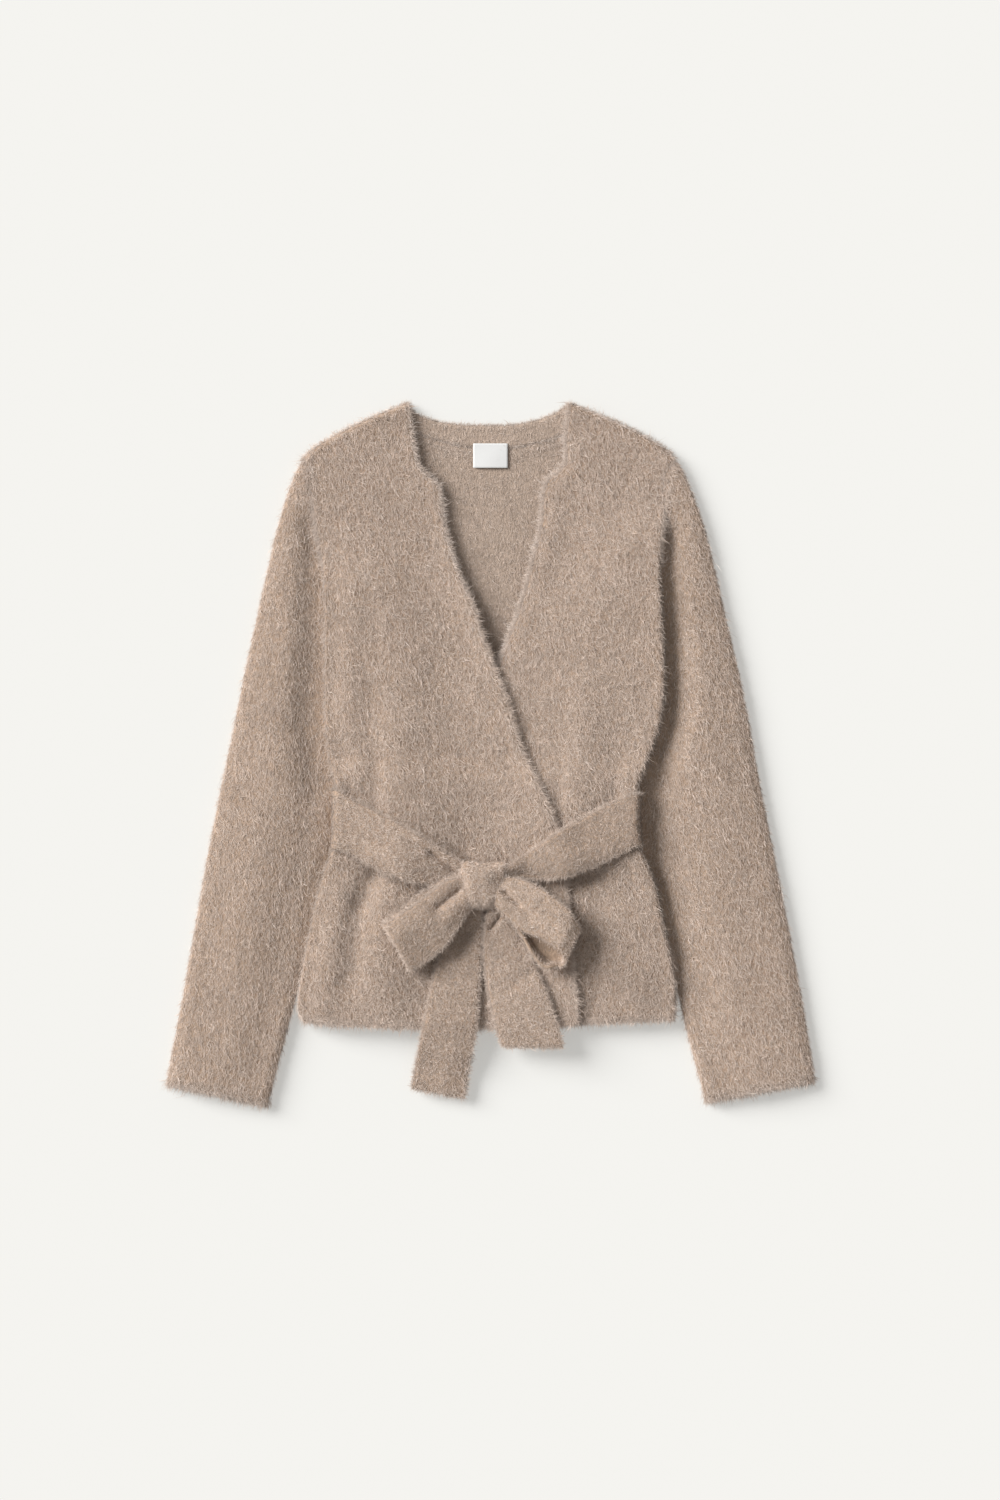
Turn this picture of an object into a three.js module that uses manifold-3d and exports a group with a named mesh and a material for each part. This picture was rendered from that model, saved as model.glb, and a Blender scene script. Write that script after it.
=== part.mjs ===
// A wrap cardigan in brushed knit, tied with a belt in a bow, laid flat on its back.
// Millimetres. +Z up from the surface that it lies on, +Y towards the neck, +X towards the
// wearer's left. The origin is on the surface, under the middle of the outline.
import * as THREE from "three";
import Module from "manifold-3d";
import { mergeVertices } from "three/addons/utils/BufferGeometryUtils.js";

// Cloth
const KNIT = 4; // wall of the brushed knit with its pile
const SEAM = 0.35; // gap between pieces sewn edge to edge
const ARMHOLE_GAP = 1.4; // the same, round the armholes
const LAY = 0.9; // gap between layers that lie on each other
const BELT_LAY = 1.4; // the same, under the belt and the bow
const EDGE_GAP = 0.9; // between a front's turned edge and the back
const TAPE = 1; // wall of the woven label

// Height of the layers
const AIR = 3; // between the front and the back
const AIR_SIDE = 1.7; // the same, beside the side seams
const AIR_WAIST = 1.1; // the same, under the belt
const AIR_LEAST = 1; // the same, in the troughs of the folds
const SLEEVE_AIR = 3.4; // inside a sleeve where nothing lies on it
const SLEEVE_AIR_PRESSED = 0.8; // inside a sleeve under the body
const SLEEVE_LIFT = 10.3; // how far a sleeve lifts the body that lies on it
const BELT_LIFT = 5.6; // how far the belt lifts the back that lies on it
const CURL = 2.4; // radius of the turned edges, at the middle of the wall
const SIDE_IN = 2.2; // how far the back's edges lie inside the turned edges of the fronts

// Places along Y
const SHOULDER_Y = 300.5; // shoulder tip
const ARMHOLE_CLOSED_Y = 190; // above this the sleeve is level with the body, below it lies under it
const UNDERARM_Y = 98.5;
const TUCK = 61; // how far the underarm lies inside the body's edge
const BELT_Y = -65; // middle of the belt at the back
const BELT_WIDTH = 54;
const HEM_DIP = 5; // how far the hem hangs lower at its middle than at its corners
const SHOULDER_BOW = 3.4; // how far the shoulder line arches above a straight one

// The body's edges, as distances from the middle line.
const FLANK = [
  { y: 300.5, left: 179.5, right: 182.5 },
  { y: 273.5, left: 173.5, right: 178.5 },
  { y: 243.5, left: 170.5, right: 173.5 },
  { y: 208.5, left: 168.5, right: 169.5 },
  { y: 173.5, left: 169, right: 166.5 },
  { y: 133.5, left: 170.5, right: 165.5 },
  { y: 73.5, left: 173.5, right: 165.5 },
  { y: 38.5, left: 170.5, right: 165 },
  { y: 3.5, left: 160, right: 162.5 },
  { y: -15, left: 153.5, right: 159 },
  { y: -36, left: 147, right: 154 },
  { y: -66, left: 145.5, right: 153.5 },
  { y: -96, left: 149.5, right: 157 },
  { y: -110, left: 156.5, right: 163 },
  { y: -131.5, left: 164.5, right: 170.5 },
  { y: -171.5, left: 173, right: 179.5 },
  { y: -206.5, left: 180.5, right: 186 },
  { y: -236.5, left: 184, right: 191.5 },
  { y: -258.5, left: 184.5, right: 192.5 },
  { y: -265.5, left: 180, right: 188 },
];

// The sleeves' inner edges below the underarm, as distances from the middle line.
const UNDERARM = [
  { y: 98.5, left: 111, right: 104.5 },
  { y: 73.5, left: 116, right: 110 },
  { y: 38.5, left: 125, right: 121 },
  { y: 3.5, left: 134, right: 136 },
  { y: -33, left: 138, right: 142.5 },
  { y: -66, left: 142, right: 147 },
  { y: -98, left: 148, right: 153 },
  { y: -131.5, left: 157.5, right: 163 },
  { y: -171.5, left: 169, right: 174.5 },
  { y: -206.5, left: 178.5, right: 184 },
  { y: -228.5, left: 184.5, right: 190 },
  { y: -277, left: 195.5, right: 203 },
  { y: -313.5, left: 205, right: 212.5 },
  { y: -350, left: 215, right: 222 },
];

// Sections of the right front, the one that laps over, from its side to its edge.
const RIGHT_FRONT = [
  { side: 300.5, x: -84.5, y: 349.5 },
  { side: 287.5, x: -82.5, y: 331.5 },
  { side: 262, x: -78.5, y: 308.5 },
  { side: 240, x: -75.5, y: 289.5 },
  { side: 222, x: -64.5, y: 276.5 },
  { side: 208, x: -53.5, y: 267.5 },
  { side: 190, x: -51.5, y: 248.5 },
  { side: 165, x: -45.5, y: 216.5 },
  { side: 135, x: -33.5, y: 177.5 },
  { side: 110, x: -20.5, y: 148.5 },
  { side: 85, x: -10.5, y: 115.5 },
  { side: 60, x: -0.5, y: 90.5 },
  { side: 30, x: 11.5, y: 59.5 },
  { side: -15, x: 31.5, y: -1.5 },
  { side: -45, x: 49.5, y: -38.5 },
  { side: -80, x: 64.5, y: -75.5 },
  { side: -115, x: 71.5, y: -114.5 },
  { side: -160, x: 75.5, y: -161.5 },
  { side: -210, x: 79.5, y: -216.5 },
  { side: -258, x: 84.5, y: -259.5 },
  { side: -265.5, x: 84.5, y: -267 },
];

// Sections of the left front, which goes on under the right one.
const LEFT_FRONT = [
  { side: 300.5, x: 80.5, y: 349 },
  { side: 287.5, x: 79.5, y: 331.5 },
  { side: 262, x: 77, y: 313.5 },
  { side: 240, x: 78, y: 291.5 },
  { side: 222, x: 67.5, y: 278.5 },
  { side: 208, x: 58.5, y: 271.5 },
  { side: 190, x: 54.5, y: 258.5 },
  { side: 165, x: 53, y: 231.5 },
  { side: 135, x: 44.5, y: 193.5 },
  { side: 110, x: 33.5, y: 151.5 },
  { side: 85, x: 22.5, y: 121 },
  { side: 60, x: 14, y: 98.5 },
  { side: 30, x: -6, y: 59.5 },
  { side: -15, x: -30, y: -1.5 },
  { side: -45, x: -46, y: -38.5 },
  { side: -80, x: -60, y: -75.5 },
  { side: -115, x: -68, y: -114.5 },
  { side: -160, x: -73, y: -161.5 },
  { side: -210, x: -77, y: -216.5 },
  { side: -258, x: -80, y: -255 },
  { side: -262, x: -80, y: -262 },
];

// The back neck, from the right shoulder to the left one.
// x and y are the band's free edge, seamX and seamY its seam to the back.
const NECK = [
  { x: -83.5, y: 349.5, seamX: -100.5, seamY: 341.2 },
  { x: -78.5, y: 341, seamX: -90.5, seamY: 331.5 },
  { x: -62, y: 333, seamX: -71, seamY: 321 },
  { x: -42, y: 328.6, seamX: -48, seamY: 313.5 },
  { x: -14, y: 326.6, seamX: -16, seamY: 307.5 },
  { x: 14, y: 326.6, seamX: 16, seamY: 307.5 },
  { x: 42, y: 330.8, seamX: 47, seamY: 312 },
  { x: 61, y: 337, seamX: 70, seamY: 319 },
  { x: 73, y: 344, seamX: 87, seamY: 331 },
  { x: 79.5, y: 349, seamX: 97, seamY: 341.2 },
];

// Sections of the sleeves, from the armhole to the cuff.
// bow is how much of the armhole's curve a section keeps.
const RIGHT_SLEEVE = [
  { x: -184.3, y: 300.5, inner: 98.5, bow: 1 },
  { x: -193, y: 286, inner: 94, bow: 0.84 },
  { x: -202, y: 261, inner: 88, bow: 0.66 },
  { x: -211, y: 232, inner: 81, bow: 0.46 },
  { x: -222, y: 186, inner: 70, bow: 0.22 },
  { x: -232, y: 142, inner: 54, bow: 0.06 },
  { x: -245, y: 84, inner: 28, bow: 0 },
  { x: -256, y: 30, inner: -8, bow: 0 },
  { x: -270.5, y: -39.5, inner: -66, bow: 0 },
  { x: -282.5, y: -100.5, inner: -122, bow: 0 },
  { x: -294.5, y: -168, inner: -186, bow: 0 },
  { x: -306.5, y: -236, inner: -254, bow: 0 },
  { x: -318.5, y: -299, inner: -318, bow: 0 },
  { x: -323.5, y: -327, inner: -349, bow: 0 },
];
const LEFT_SLEEVE = [
  { x: 181.3, y: 300.5, inner: 98.5, bow: 1 },
  { x: 191, y: 287, inner: 94, bow: 0.84 },
  { x: 200, y: 264, inner: 88, bow: 0.66 },
  { x: 210.5, y: 236, inner: 81, bow: 0.46 },
  { x: 221.5, y: 194, inner: 70, bow: 0.22 },
  { x: 233.5, y: 142, inner: 54, bow: 0.06 },
  { x: 247.5, y: 84, inner: 28, bow: 0 },
  { x: 259, y: 26, inner: -8, bow: 0 },
  { x: 272, y: -45, inner: -66, bow: 0 },
  { x: 284, y: -104, inner: -122, bow: 0 },
  { x: 297, y: -170, inner: -186, bow: 0 },
  { x: 309.5, y: -237, inner: -254, bow: 0 },
  { x: 320, y: -299, inner: -316, bow: 0 },
  { x: 323.5, y: -324, inner: -345, bow: 0 },
];

// Soft ridges that lift the front and the back together.
const RIDGES = [
  { x0: -152, y0: -125, x1: -170, y1: -262, wide: 14, high: 2.6 },
  { x0: -92, y0: -140, x1: -104, y1: -265, wide: 18, high: 2.4 },
  { x0: 128, y0: -125, x1: 146, y1: -262, wide: 16, high: 2.8 },
  { x0: -142, y0: -20, x1: -146, y1: 95, wide: 14, high: 1.6 },
  { x0: -84, y0: -20, x1: -78, y1: 110, wide: 22, high: 2 },
  { x0: 98, y0: -20, x1: 92, y1: 70, wide: 16, high: 2.4 },
  { x0: 142, y0: -10, x1: 150, y1: 95, wide: 14, high: 2 },
  { x0: 20, y0: 10, x1: 70, y1: 130, wide: 30, high: 1.6 },
];

// Troughs, where the front sinks towards the back.
const TROUGHS = [
  { x0: -118, y0: -112, x1: -138, y1: -215, wide: 12, deep: 2 },
  { x0: 102, y0: -118, x1: 104, y1: -240, wide: 13, deep: 2 },
  { x0: -114, y0: -40, x1: -122, y1: 30, wide: 10, deep: 1.8 },
  { x0: 74, y0: -70, x1: 66, y1: 10, wide: 11, deep: 1.6 },
  { x0: 122, y0: -45, x1: 124, y1: 20, wide: 9, deep: 1.4 },
];

// Long folds in the sleeves, in the same columns.
const SLEEVE_TROUGHS = [
  { x0: -178, y0: 250, x1: -209, y1: 20, wide: 11, deep: 2.3 },
  { x0: 190, y0: 200, x1: 205, y1: 60, wide: 13, deep: 1.2 },
  { x0: -268, y0: -150, x1: -276, y1: -290, wide: 16, deep: 0.9 },
  { x0: 252, y0: -120, x1: 268, y1: -280, wide: 16, deep: 0.9 },
];

// The belt's parts. Each row is a section across the strip: its two edges, and how far it lies
// above the cloth under it.
const BELT_RIGHT = [
  { x0: -150, y0: -38, x1: -150, y1: -94, up: 0 },
  { x0: -141, y0: -43, x1: -141, y1: -100, up: 0 },
  { x0: -114, y0: -57, x1: -114, y1: -116, up: 0 },
  { x0: -83, y0: -75, x1: -84, y1: -129, up: 0.3 },
  { x0: -58, y0: -90, x1: -58, y1: -137, up: 0.8 },
  { x0: -37, y0: -104, x1: -37, y1: -137, up: 2 },
  { x0: -14, y0: -114, x1: -14, y1: -134, up: 4 },
];
const BELT_LEFT = [
  { x0: 143.5, y0: -38, x1: 143.5, y1: -90, up: 0 },
  { x0: 135, y0: -42, x1: 136, y1: -96, up: 0 },
  { x0: 112, y0: -52, x1: 113, y1: -107, up: 0 },
  { x0: 88, y0: -64, x1: 90, y1: -116, up: 0.3 },
  { x0: 66, y0: -77, x1: 64, y1: -124, up: 0.8 },
  { x0: 38, y0: -95, x1: 36, y1: -124, up: 2 },
  { x0: 0, y0: -114, x1: 0, y1: -134, up: 4 },
];
const TAIL_RIGHT = [
  { x0: -24, y0: -136, x1: -9, y1: -138, up: 1 },
  { x0: -29, y0: -152, x1: -8.6, y1: -154, up: 0.6 },
  { x0: -39, y0: -176, x1: -8.4, y1: -179, up: 0.2 },
  { x0: -51, y0: -202, x1: -9.4, y1: -206, up: 0 },
  { x0: -58, y0: -228, x1: -11.4, y1: -233, up: 0 },
  { x0: -65, y0: -262, x1: -13, y1: -266, up: 0.2 },
  { x0: -71, y0: -290, x1: -18, y1: -296, up: -4.5 },
  { x0: -76, y0: -316, x1: -23, y1: -325, up: -11.2 },
  { x0: -79, y0: -333, x1: -25, y1: -343, up: -11.9 },
];
const TAIL_LEFT = [
  { x0: -1, y0: -140, x1: 12, y1: -139, up: 2.4 },
  { x0: -3, y0: -158, x1: 18, y1: -156, up: 2 },
  { x0: -6.2, y0: -178, x1: 27, y1: -176, up: 1.2 },
  { x0: -7, y0: -200, x1: 38, y1: -198, up: 0.4 },
  { x0: -4, y0: -228, x1: 50, y1: -224, up: 0 },
  { x0: 3, y0: -262, x1: 63, y1: -258, up: 0.2 },
  { x0: 9, y0: -284, x1: 70, y1: -282, up: -1.6 },
  { x0: 11, y0: -290.5, x1: 72.5, y1: -291.5, up: -2.4 },
];

// The bow's loops, from the knot out to the fold. up is the height of the upper layer above the
// cloth, and back is the height of the lower layer.
const LOOP_RIGHT = [
  { x0: -22, y0: -121, x1: -22, y1: -149, up: 15.6, back: 9.4 },
  { x0: -41, y0: -124, x1: -33, y1: -167, up: 15.2, back: 8.4 },
  { x0: -66, y0: -139, x1: -47, y1: -190, up: 13.4, back: 6 },
  { x0: -89, y0: -155, x1: -64, y1: -207, up: 10.6, back: 2.8 },
  { x0: -107, y0: -168, x1: -79, y1: -214, up: 7.4, back: 0.8 },
];
const LOOP_LEFT = [
  { x0: 10, y0: -121, x1: 8, y1: -146, up: 16, back: 9.6 },
  { x0: 26, y0: -125, x1: 19, y1: -161, up: 17.4, back: 9 },
  { x0: 44, y0: -132, x1: 31, y1: -177, up: 17.6, back: 7.4 },
  { x0: 62, y0: -144, x1: 48, y1: -193, up: 15.6, back: 4.2 },
  { x0: 79, y0: -158, x1: 62, y1: -204, up: 12.4, back: 1.8 },
  { x0: 90, y0: -177, x1: 72, y1: -214, up: 8, back: 0.8 },
];

// The knot: its outline seen from above, and its height above the cloth.
const KNOT = { x: -5.5, top: -109, bottom: -152, wideTop: 24, wideBottom: 15, low: 0.6, high: 22 };

// The woven label, inside the back of the neck.
const LABEL = { x: 0, y: 297.5, wide: 34, tall: 24 };

const clamp = THREE.MathUtils.clamp;
const mix = THREE.MathUtils.lerp;

// 0 before from, 1 after to, smooth between, whichever of the two is larger.
function ease(from, to, value) {
  const t = clamp((value - from) / (to - from), 0, 1);
  return t * t * (3 - 2 * t);
}

// The table's row at any value of its column by, with every column passing smoothly through its rows.
function through(rows, by) {
  const turn = Math.sign(rows[rows.length - 1][by] - rows[0][by]);
  const slopes = rows.map((row, k) => {
    const slope = {};
    for (const name in row) {
      if (k === 0 || k === rows.length - 1) {
        const [a, b] = k === 0 ? [rows[0], rows[1]] : [rows[k - 1], rows[k]];
        slope[name] = (b[name] - a[name]) / (b[by] - a[by]);
        continue;
      }
      const before = (row[name] - rows[k - 1][name]) / (row[by] - rows[k - 1][by]);
      const after = (rows[k + 1][name] - row[name]) / (rows[k + 1][by] - row[by]);
      slope[name] = before * after > 0 ? (2 * before * after) / (before + after) : 0;
    }
    return slope;
  });
  return (value) => {
    let k = 0;
    while (k < rows.length - 2 && turn * (value - rows[k + 1][by]) > 0) k++;
    const span = rows[k + 1][by] - rows[k][by];
    const t = clamp((value - rows[k][by]) / span, 0, 1);
    const row = {};
    for (const name in rows[k]) {
      row[name] =
        rows[k][name] * (1 + 2 * t) * (1 - t) ** 2 +
        rows[k + 1][name] * t * t * (3 - 2 * t) +
        span * (slopes[k][name] * t * (1 - t) ** 2 - slopes[k + 1][name] * t * t * (1 - t));
    }
    return row;
  };
}

// count + 1 rows spaced evenly along a table of sections, by the way that the point named by x and y goes.
function spaced(rows, count, x = "x", y = "y") {
  let far = 0;
  const marked = rows.map((row, k) => {
    if (k) far += Math.hypot(row[x] - rows[k - 1][x], row[y] - rows[k - 1][y]);
    return { ...row, far };
  });
  const at = through(marked, "far");
  return Array.from({ length: count + 1 }, (_, k) => at((far * k) / count));
}

const flankAt = through(FLANK, "y");
const underarmAt = through(UNDERARM, "y");
const leftEdgeAt = through(LEFT_FRONT, "y");
const rightEdgeAt = through(RIGHT_FRONT, "y");

const flank = (side, y) => flankAt(y)[side];

// The sleeve's edge inside the armhole and under the body, as a distance from the middle line.
function sleeveEdge(side, y) {
  if (y < UNDERARM_Y) return underarmAt(y)[side];
  return flank(side, y) + ARMHOLE_GAP - TUCK * ease(ARMHOLE_CLOSED_Y, UNDERARM_Y, y);
}

// How near a point is to a fold's line: 1 on it, 0 from two widths away.
function onFold(fold, x, y) {
  const [dx, dy] = [fold.x1 - fold.x0, fold.y1 - fold.y0];
  const along = ((x - fold.x0) * dx + (y - fold.y0) * dy) / (dx * dx + dy * dy);
  const t = clamp(along, 0, 1);
  const off = Math.hypot(x - fold.x0 - t * dx, y - fold.y0 - t * dy) / fold.wide;
  return Math.max(0, Math.exp(-off * off) - Math.exp(-4)) / (1 - Math.exp(-4));
}

const sumOf = (folds, size, x, y) => folds.reduce((sum, fold) => sum + fold[size] * onFold(fold, x, y), 0);

// 1 at the belt's height, 0 well above and below it.
function atWaist(y, reach) {
  return 1 - ease(BELT_WIDTH / 2 + 6, BELT_WIDTH / 2 + reach, Math.abs(y - BELT_Y));
}

// 1 where a sleeve lies under the body, 0 in the middle of the body.
function overSleeve(x, y) {
  const side = x < 0 ? "right" : "left";
  const inside = sleeveEdge(side, y) - Math.abs(x);
  return (1 - ease(5, 62, inside)) * ease(256, 192, y) * mix(0.4, 1, ease(-276, -206, y));
}

// Middle of the back's wall.
function backZ(x, y) {
  const side = overSleeve(x, y);
  const lift = SLEEVE_LIFT * side + BELT_LIFT * atWaist(y, 40);
  return KNIT / 2 + lift + sumOf(RIDGES, "high", x, y) * (1 - atWaist(y, 34));
}

// Air between the back and the front that lies on it.
function air(x, y) {
  const side = x < 0 ? "right" : "left";
  const fromSide = flank(side, y) - Math.abs(x);
  const plain = mix(AIR, AIR_SIDE, (1 - ease(6, 30, fromSide)) * ease(230, 180, y));
  const waisted = mix(plain, AIR_WAIST + 0.3, atWaist(y, 60));
  return Math.max(AIR_LEAST, waisted - sumOf(TROUGHS, "deep", x, y));
}

// Middle of the wall of a front where only the back is under it.
const frontZ = (x, y) => backZ(x, y) + KNIT + air(x, y);

// Middle of the right front's wall, which climbs onto the left front's hidden edge.
function overlapZ(x, y) {
  const edge = leftEdgeAt(y).x;
  return frontZ(x, y) + (KNIT + LAY) * ease(edge - 42, edge - 8, x);
}

// Top of the fronts, as what lies on them bridges the step at the right front's edge.
function topZ(x, y) {
  const edge = rightEdgeAt(y).x;
  return mix(overlapZ(x, y), frontZ(x, y), ease(edge + 5, edge + 24, x)) + KNIT / 2;
}

// A closed wall: the points of its middle surface moved out by half its thickness on both sides,
// and its rims. A tube's rows close on themselves.
function wall(grid, thickness, tube = false) {
  const rows = grid.length;
  const columns = grid[0].length;
  const column = (j) => (tube ? (j + columns) % columns : clamp(j, 0, columns - 1));
  const point = (i, j) => grid[clamp(i, 0, rows - 1)][column(j)];
  const positions = [];
  for (const side of [1, -1]) {
    for (let i = 0; i < rows; i++) {
      for (let j = 0; j < columns; j++) {
        const down = point(i + 1, j).clone().sub(point(i - 1, j));
        const across = point(i, j + 1).clone().sub(point(i, j - 1));
        const normal = down.cross(across).normalize();
        positions.push(...point(i, j).clone().addScaledVector(normal, (side * thickness) / 2));
      }
    }
  }
  const index = [];
  const at = (side, i, j) => side * rows * columns + i * columns + (tube ? j % columns : j);
  const quad = (a, b, c, d) => index.push(a, b, c, a, c, d);
  const last = tube ? columns : columns - 1;
  for (let i = 0; i < rows - 1; i++) {
    for (let j = 0; j < last; j++) {
      quad(at(0, i, j), at(0, i + 1, j), at(0, i + 1, j + 1), at(0, i, j + 1));
      quad(at(1, i, j), at(1, i, j + 1), at(1, i + 1, j + 1), at(1, i + 1, j));
    }
    if (tube) continue;
    quad(at(0, i, 0), at(1, i, 0), at(1, i + 1, 0), at(0, i + 1, 0));
    quad(at(0, i, last), at(0, i + 1, last), at(1, i + 1, last), at(1, i, last));
  }
  for (let j = 0; j < last; j++) {
    quad(at(0, 0, j), at(0, 0, j + 1), at(1, 0, j + 1), at(1, 0, j));
    quad(at(0, rows - 1, j), at(1, rows - 1, j), at(1, rows - 1, j + 1), at(0, rows - 1, j + 1));
  }
  const geometry = new THREE.BufferGeometry();
  geometry.setAttribute("position", new THREE.Float32BufferAttribute(positions, 3));
  geometry.setIndex(index);
  return facingOut(geometry);
}

// Turns the faces round where they would point inwards.
function facingOut(geometry) {
  const at = geometry.getAttribute("position");
  const index = geometry.getIndex().array;
  const [a, b, c] = [new THREE.Vector3(), new THREE.Vector3(), new THREE.Vector3()];
  let volume = 0;
  for (let k = 0; k < index.length; k += 3) {
    a.fromBufferAttribute(at, index[k]);
    b.fromBufferAttribute(at, index[k + 1]);
    c.fromBufferAttribute(at, index[k + 2]);
    volume += a.dot(b.cross(c));
  }
  if (volume < 0) geometry.setIndex(Array.from(index).reverse());
  geometry.computeVertexNormals();
  return geometry;
}

// How a turned edge runs, for its first four points: how far in from the outline each lies, and
// how far below the flat.
function turned(drop, share) {
  const radius = Math.min(CURL, drop - 0.4);
  const slant = radius * (1 - Math.SQRT1_2);
  return [
    { inward: mix(0, KNIT / 2, share), down: drop * share },
    { inward: mix(2, KNIT / 2, share), down: radius * share },
    { inward: mix(4, KNIT / 2 + slant, share), down: slant * share },
    { inward: KNIT / 2 + CURL + 1.2, down: 0 },
  ];
}

// A front: sections from the side to the edge, turned down onto the back along the side and the shoulder.
function front(side, table, height) {
  const sign = side === "right" ? -1 : 1;
  const sections = spaced(table, 25);
  const columns = 17;
  const point = (section, inward, share) => {
    const start = sign * flank(side, section.side);
    const hem = HEM_DIP * ease(-150, -268, section.side);
    const shoulderBow = SHOULDER_BOW * ease(255, 300, section.side);
    const reach = Math.hypot(section.x - start, section.y - section.side);
    const u = mix(inward / reach, 1, share);
    const y = mix(section.side, section.y, u) + (shoulderBow - hem) * 4 * u * (1 - u);
    return { x: mix(start, section.x, u), y };
  };
  const shoulder = turned(KNIT / 2 + AIR - EDGE_GAP, 1).map(({ inward, down }) => {
    const { x, y } = sections[0];
    return { section: { side: SHOULDER_Y - inward * 1.1, x, y: y - inward * 1.1 }, down };
  });
  const rows = [...shoulder, ...sections.slice(1).map((section) => ({ section, down: 0 }))];
  return rows.map(({ section, down: shoulderDown }) => {
    const first = point(section, 0, 0);
    const drop = height(first.x, first.y) - backZ(first.x, first.y) - KNIT / 2 - EDGE_GAP;
    const edge = turned(drop, ease(216, 178, section.side));
    const row = edge.map(({ inward, down }) => ({ ...point(section, inward, 0), down }));
    for (let j = 1; j <= columns; j++) row.push({ ...point(section, edge[3].inward, j / columns), down: 0 });
    return row.map(({ x, y, down }) => new THREE.Vector3(x, y, height(x, y) - Math.max(down, shoulderDown)));
  });
}

// The back: from the shoulders and the neck seam to the hem.
function back() {
  const seam = spaced(NECK, 12).map(({ seamX, seamY }) => ({ x: seamX, y: seamY - SEAM * 1.4 }));
  const inset = (y) => SIDE_IN * ease(236, 200, y);
  const edge = (side, y) => flank(side, y) - inset(y);
  const arched = ({ x, y }, k) => ({ x, y: y + SHOULDER_BOW * 4 * (k / 6) * (1 - k / 6) });
  const tipRight = { x: -edge("right", SHOULDER_Y), y: SHOULDER_Y };
  const tipLeft = { x: edge("left", SHOULDER_Y), y: SHOULDER_Y };
  const shoulderRight = spaced([tipRight, seam[0]], 6).map(arched);
  const shoulderLeft = spaced([seam[12], tipLeft], 6).map(arched);
  const top = [...shoulderRight.slice(0, -1), ...seam, ...shoulderLeft.slice(1)];
  const count = 28;
  return Array.from({ length: count + 1 }, (_, i) =>
    top.map((start, j) => {
      const v = i / count;
      const u = j / (top.length - 1);
      const y = mix(start.y, -262.5 - HEM_DIP * 4 * u * (1 - u), v);
      const sideY = mix(SHOULDER_Y, -262.5, v);
      const even = mix(-edge("right", sideY), edge("left", sideY), u);
      const x = even + (start.x - mix(top[0].x, top[top.length - 1].x, u)) * (1 - v) ** 2;
      return new THREE.Vector3(x, y, backZ(x, y));
    }),
  );
}

// The band round the back of the neck.
function neckBand() {
  return spaced(NECK, 12).map((row) =>
    [0, 0.5, 1].map((t) => {
      const x = mix(row.x, row.seamX, t);
      const y = mix(row.y, row.seamY, t);
      return new THREE.Vector3(x, y, backZ(x, y));
    }),
  );
}

// A sleeve: a flattened tube whose sections turn from the line of the armhole to the cuff.
function sleeve(side, table) {
  const sign = side === "right" ? -1 : 1;
  const first = table[0];
  const underarm = { x: sign * sleeveEdge(side, UNDERARM_Y), y: UNDERARM_Y };
  // How far the armhole lies off the straight line from the shoulder to the underarm.
  const armholeBow = (s) => {
    const y = mix(first.y, underarm.y, s);
    return sign * sleeveEdge(side, y) - mix(first.x, underarm.x, s);
  };
  const across = [0.1, 0.22, 0.34, 0.46, 0.58, 0.7, 0.81, 0.91];
  return spaced(table, 21).map((section) => {
    const outer = new THREE.Vector2(section.x, section.y);
    const inner = new THREE.Vector2(sign * sleeveEdge(side, section.inner), section.inner);
    const wide = outer.distanceTo(inner);
    const plan = (s) => {
      const p = outer.clone().lerp(inner, s);
      p.x += section.bow * armholeBow(s);
      return p;
    };
    const airAt = (p) => {
      const outside = Math.abs(p.x) - flank(side, clamp(p.y, -258, SHOULDER_Y));
      const free = Math.max(ease(-2, 20, outside), ease(205, 235, p.y), ease(-215, -262, p.y));
      const soft = mix(SLEEVE_AIR_PRESSED, SLEEVE_AIR, free);
      return Math.max(SLEEVE_AIR_PRESSED, soft - sumOf(SLEEVE_TROUGHS, "deep", p.x, p.y));
    };
    const low = KNIT / 2;
    const end = (s) => {
      const radius = (KNIT + Math.min(airAt(plan(s)), 2)) / 2;
      const toward = s < 0.5 ? 1 : -1;
      const step = (distance) => plan(clamp(s + (toward * distance) / wide, 0, 1));
      return { radius, step };
    };
    const arc = ({ radius, step }, angle) => {
      const p = step(KNIT / 2 + radius * (1 - Math.cos(angle)));
      return new THREE.Vector3(p.x, p.y, low + radius * (1 + Math.sin(angle)));
    };
    const out = end(0);
    const inn = end(1);
    const over = across.map((s) => {
      const p = plan(s);
      return new THREE.Vector3(p.x, p.y, low + KNIT + airAt(p));
    });
    const under = [0.75, 0.5, 0.25].map((s) => {
      const p = plan(s);
      return new THREE.Vector3(p.x, p.y, low);
    });
    const quarter = Math.PI / 4;
    return [
      arc(out, 0), arc(out, quarter), arc(out, 2 * quarter),
      ...over,
      arc(inn, 2 * quarter), arc(inn, quarter), arc(inn, 0), arc(inn, -quarter), arc(inn, -2 * quarter),
      ...under,
      arc(out, -2 * quarter), arc(out, -quarter),
    ];
  });
}

// A strip of the belt that lies on the fronts, in sections across its width.
function strip(table, count, heights) {
  const across = [0, 0.25, 0.5, 0.75, 1];
  return spaced(table, count, "x0", "y0").map((section) =>
    across.map((t) => {
      const x = mix(section.x0, section.x1, t);
      const y = mix(section.y0, section.y1, t);
      return new THREE.Vector3(x, y, heights(x, y) + BELT_LAY + KNIT / 2 + section.up);
    }),
  );
}

// Beyond the hem the cloth under a tail stays at the hem's height.
const tailBed = (x, y) => topZ(x, Math.max(y, -262));

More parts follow.
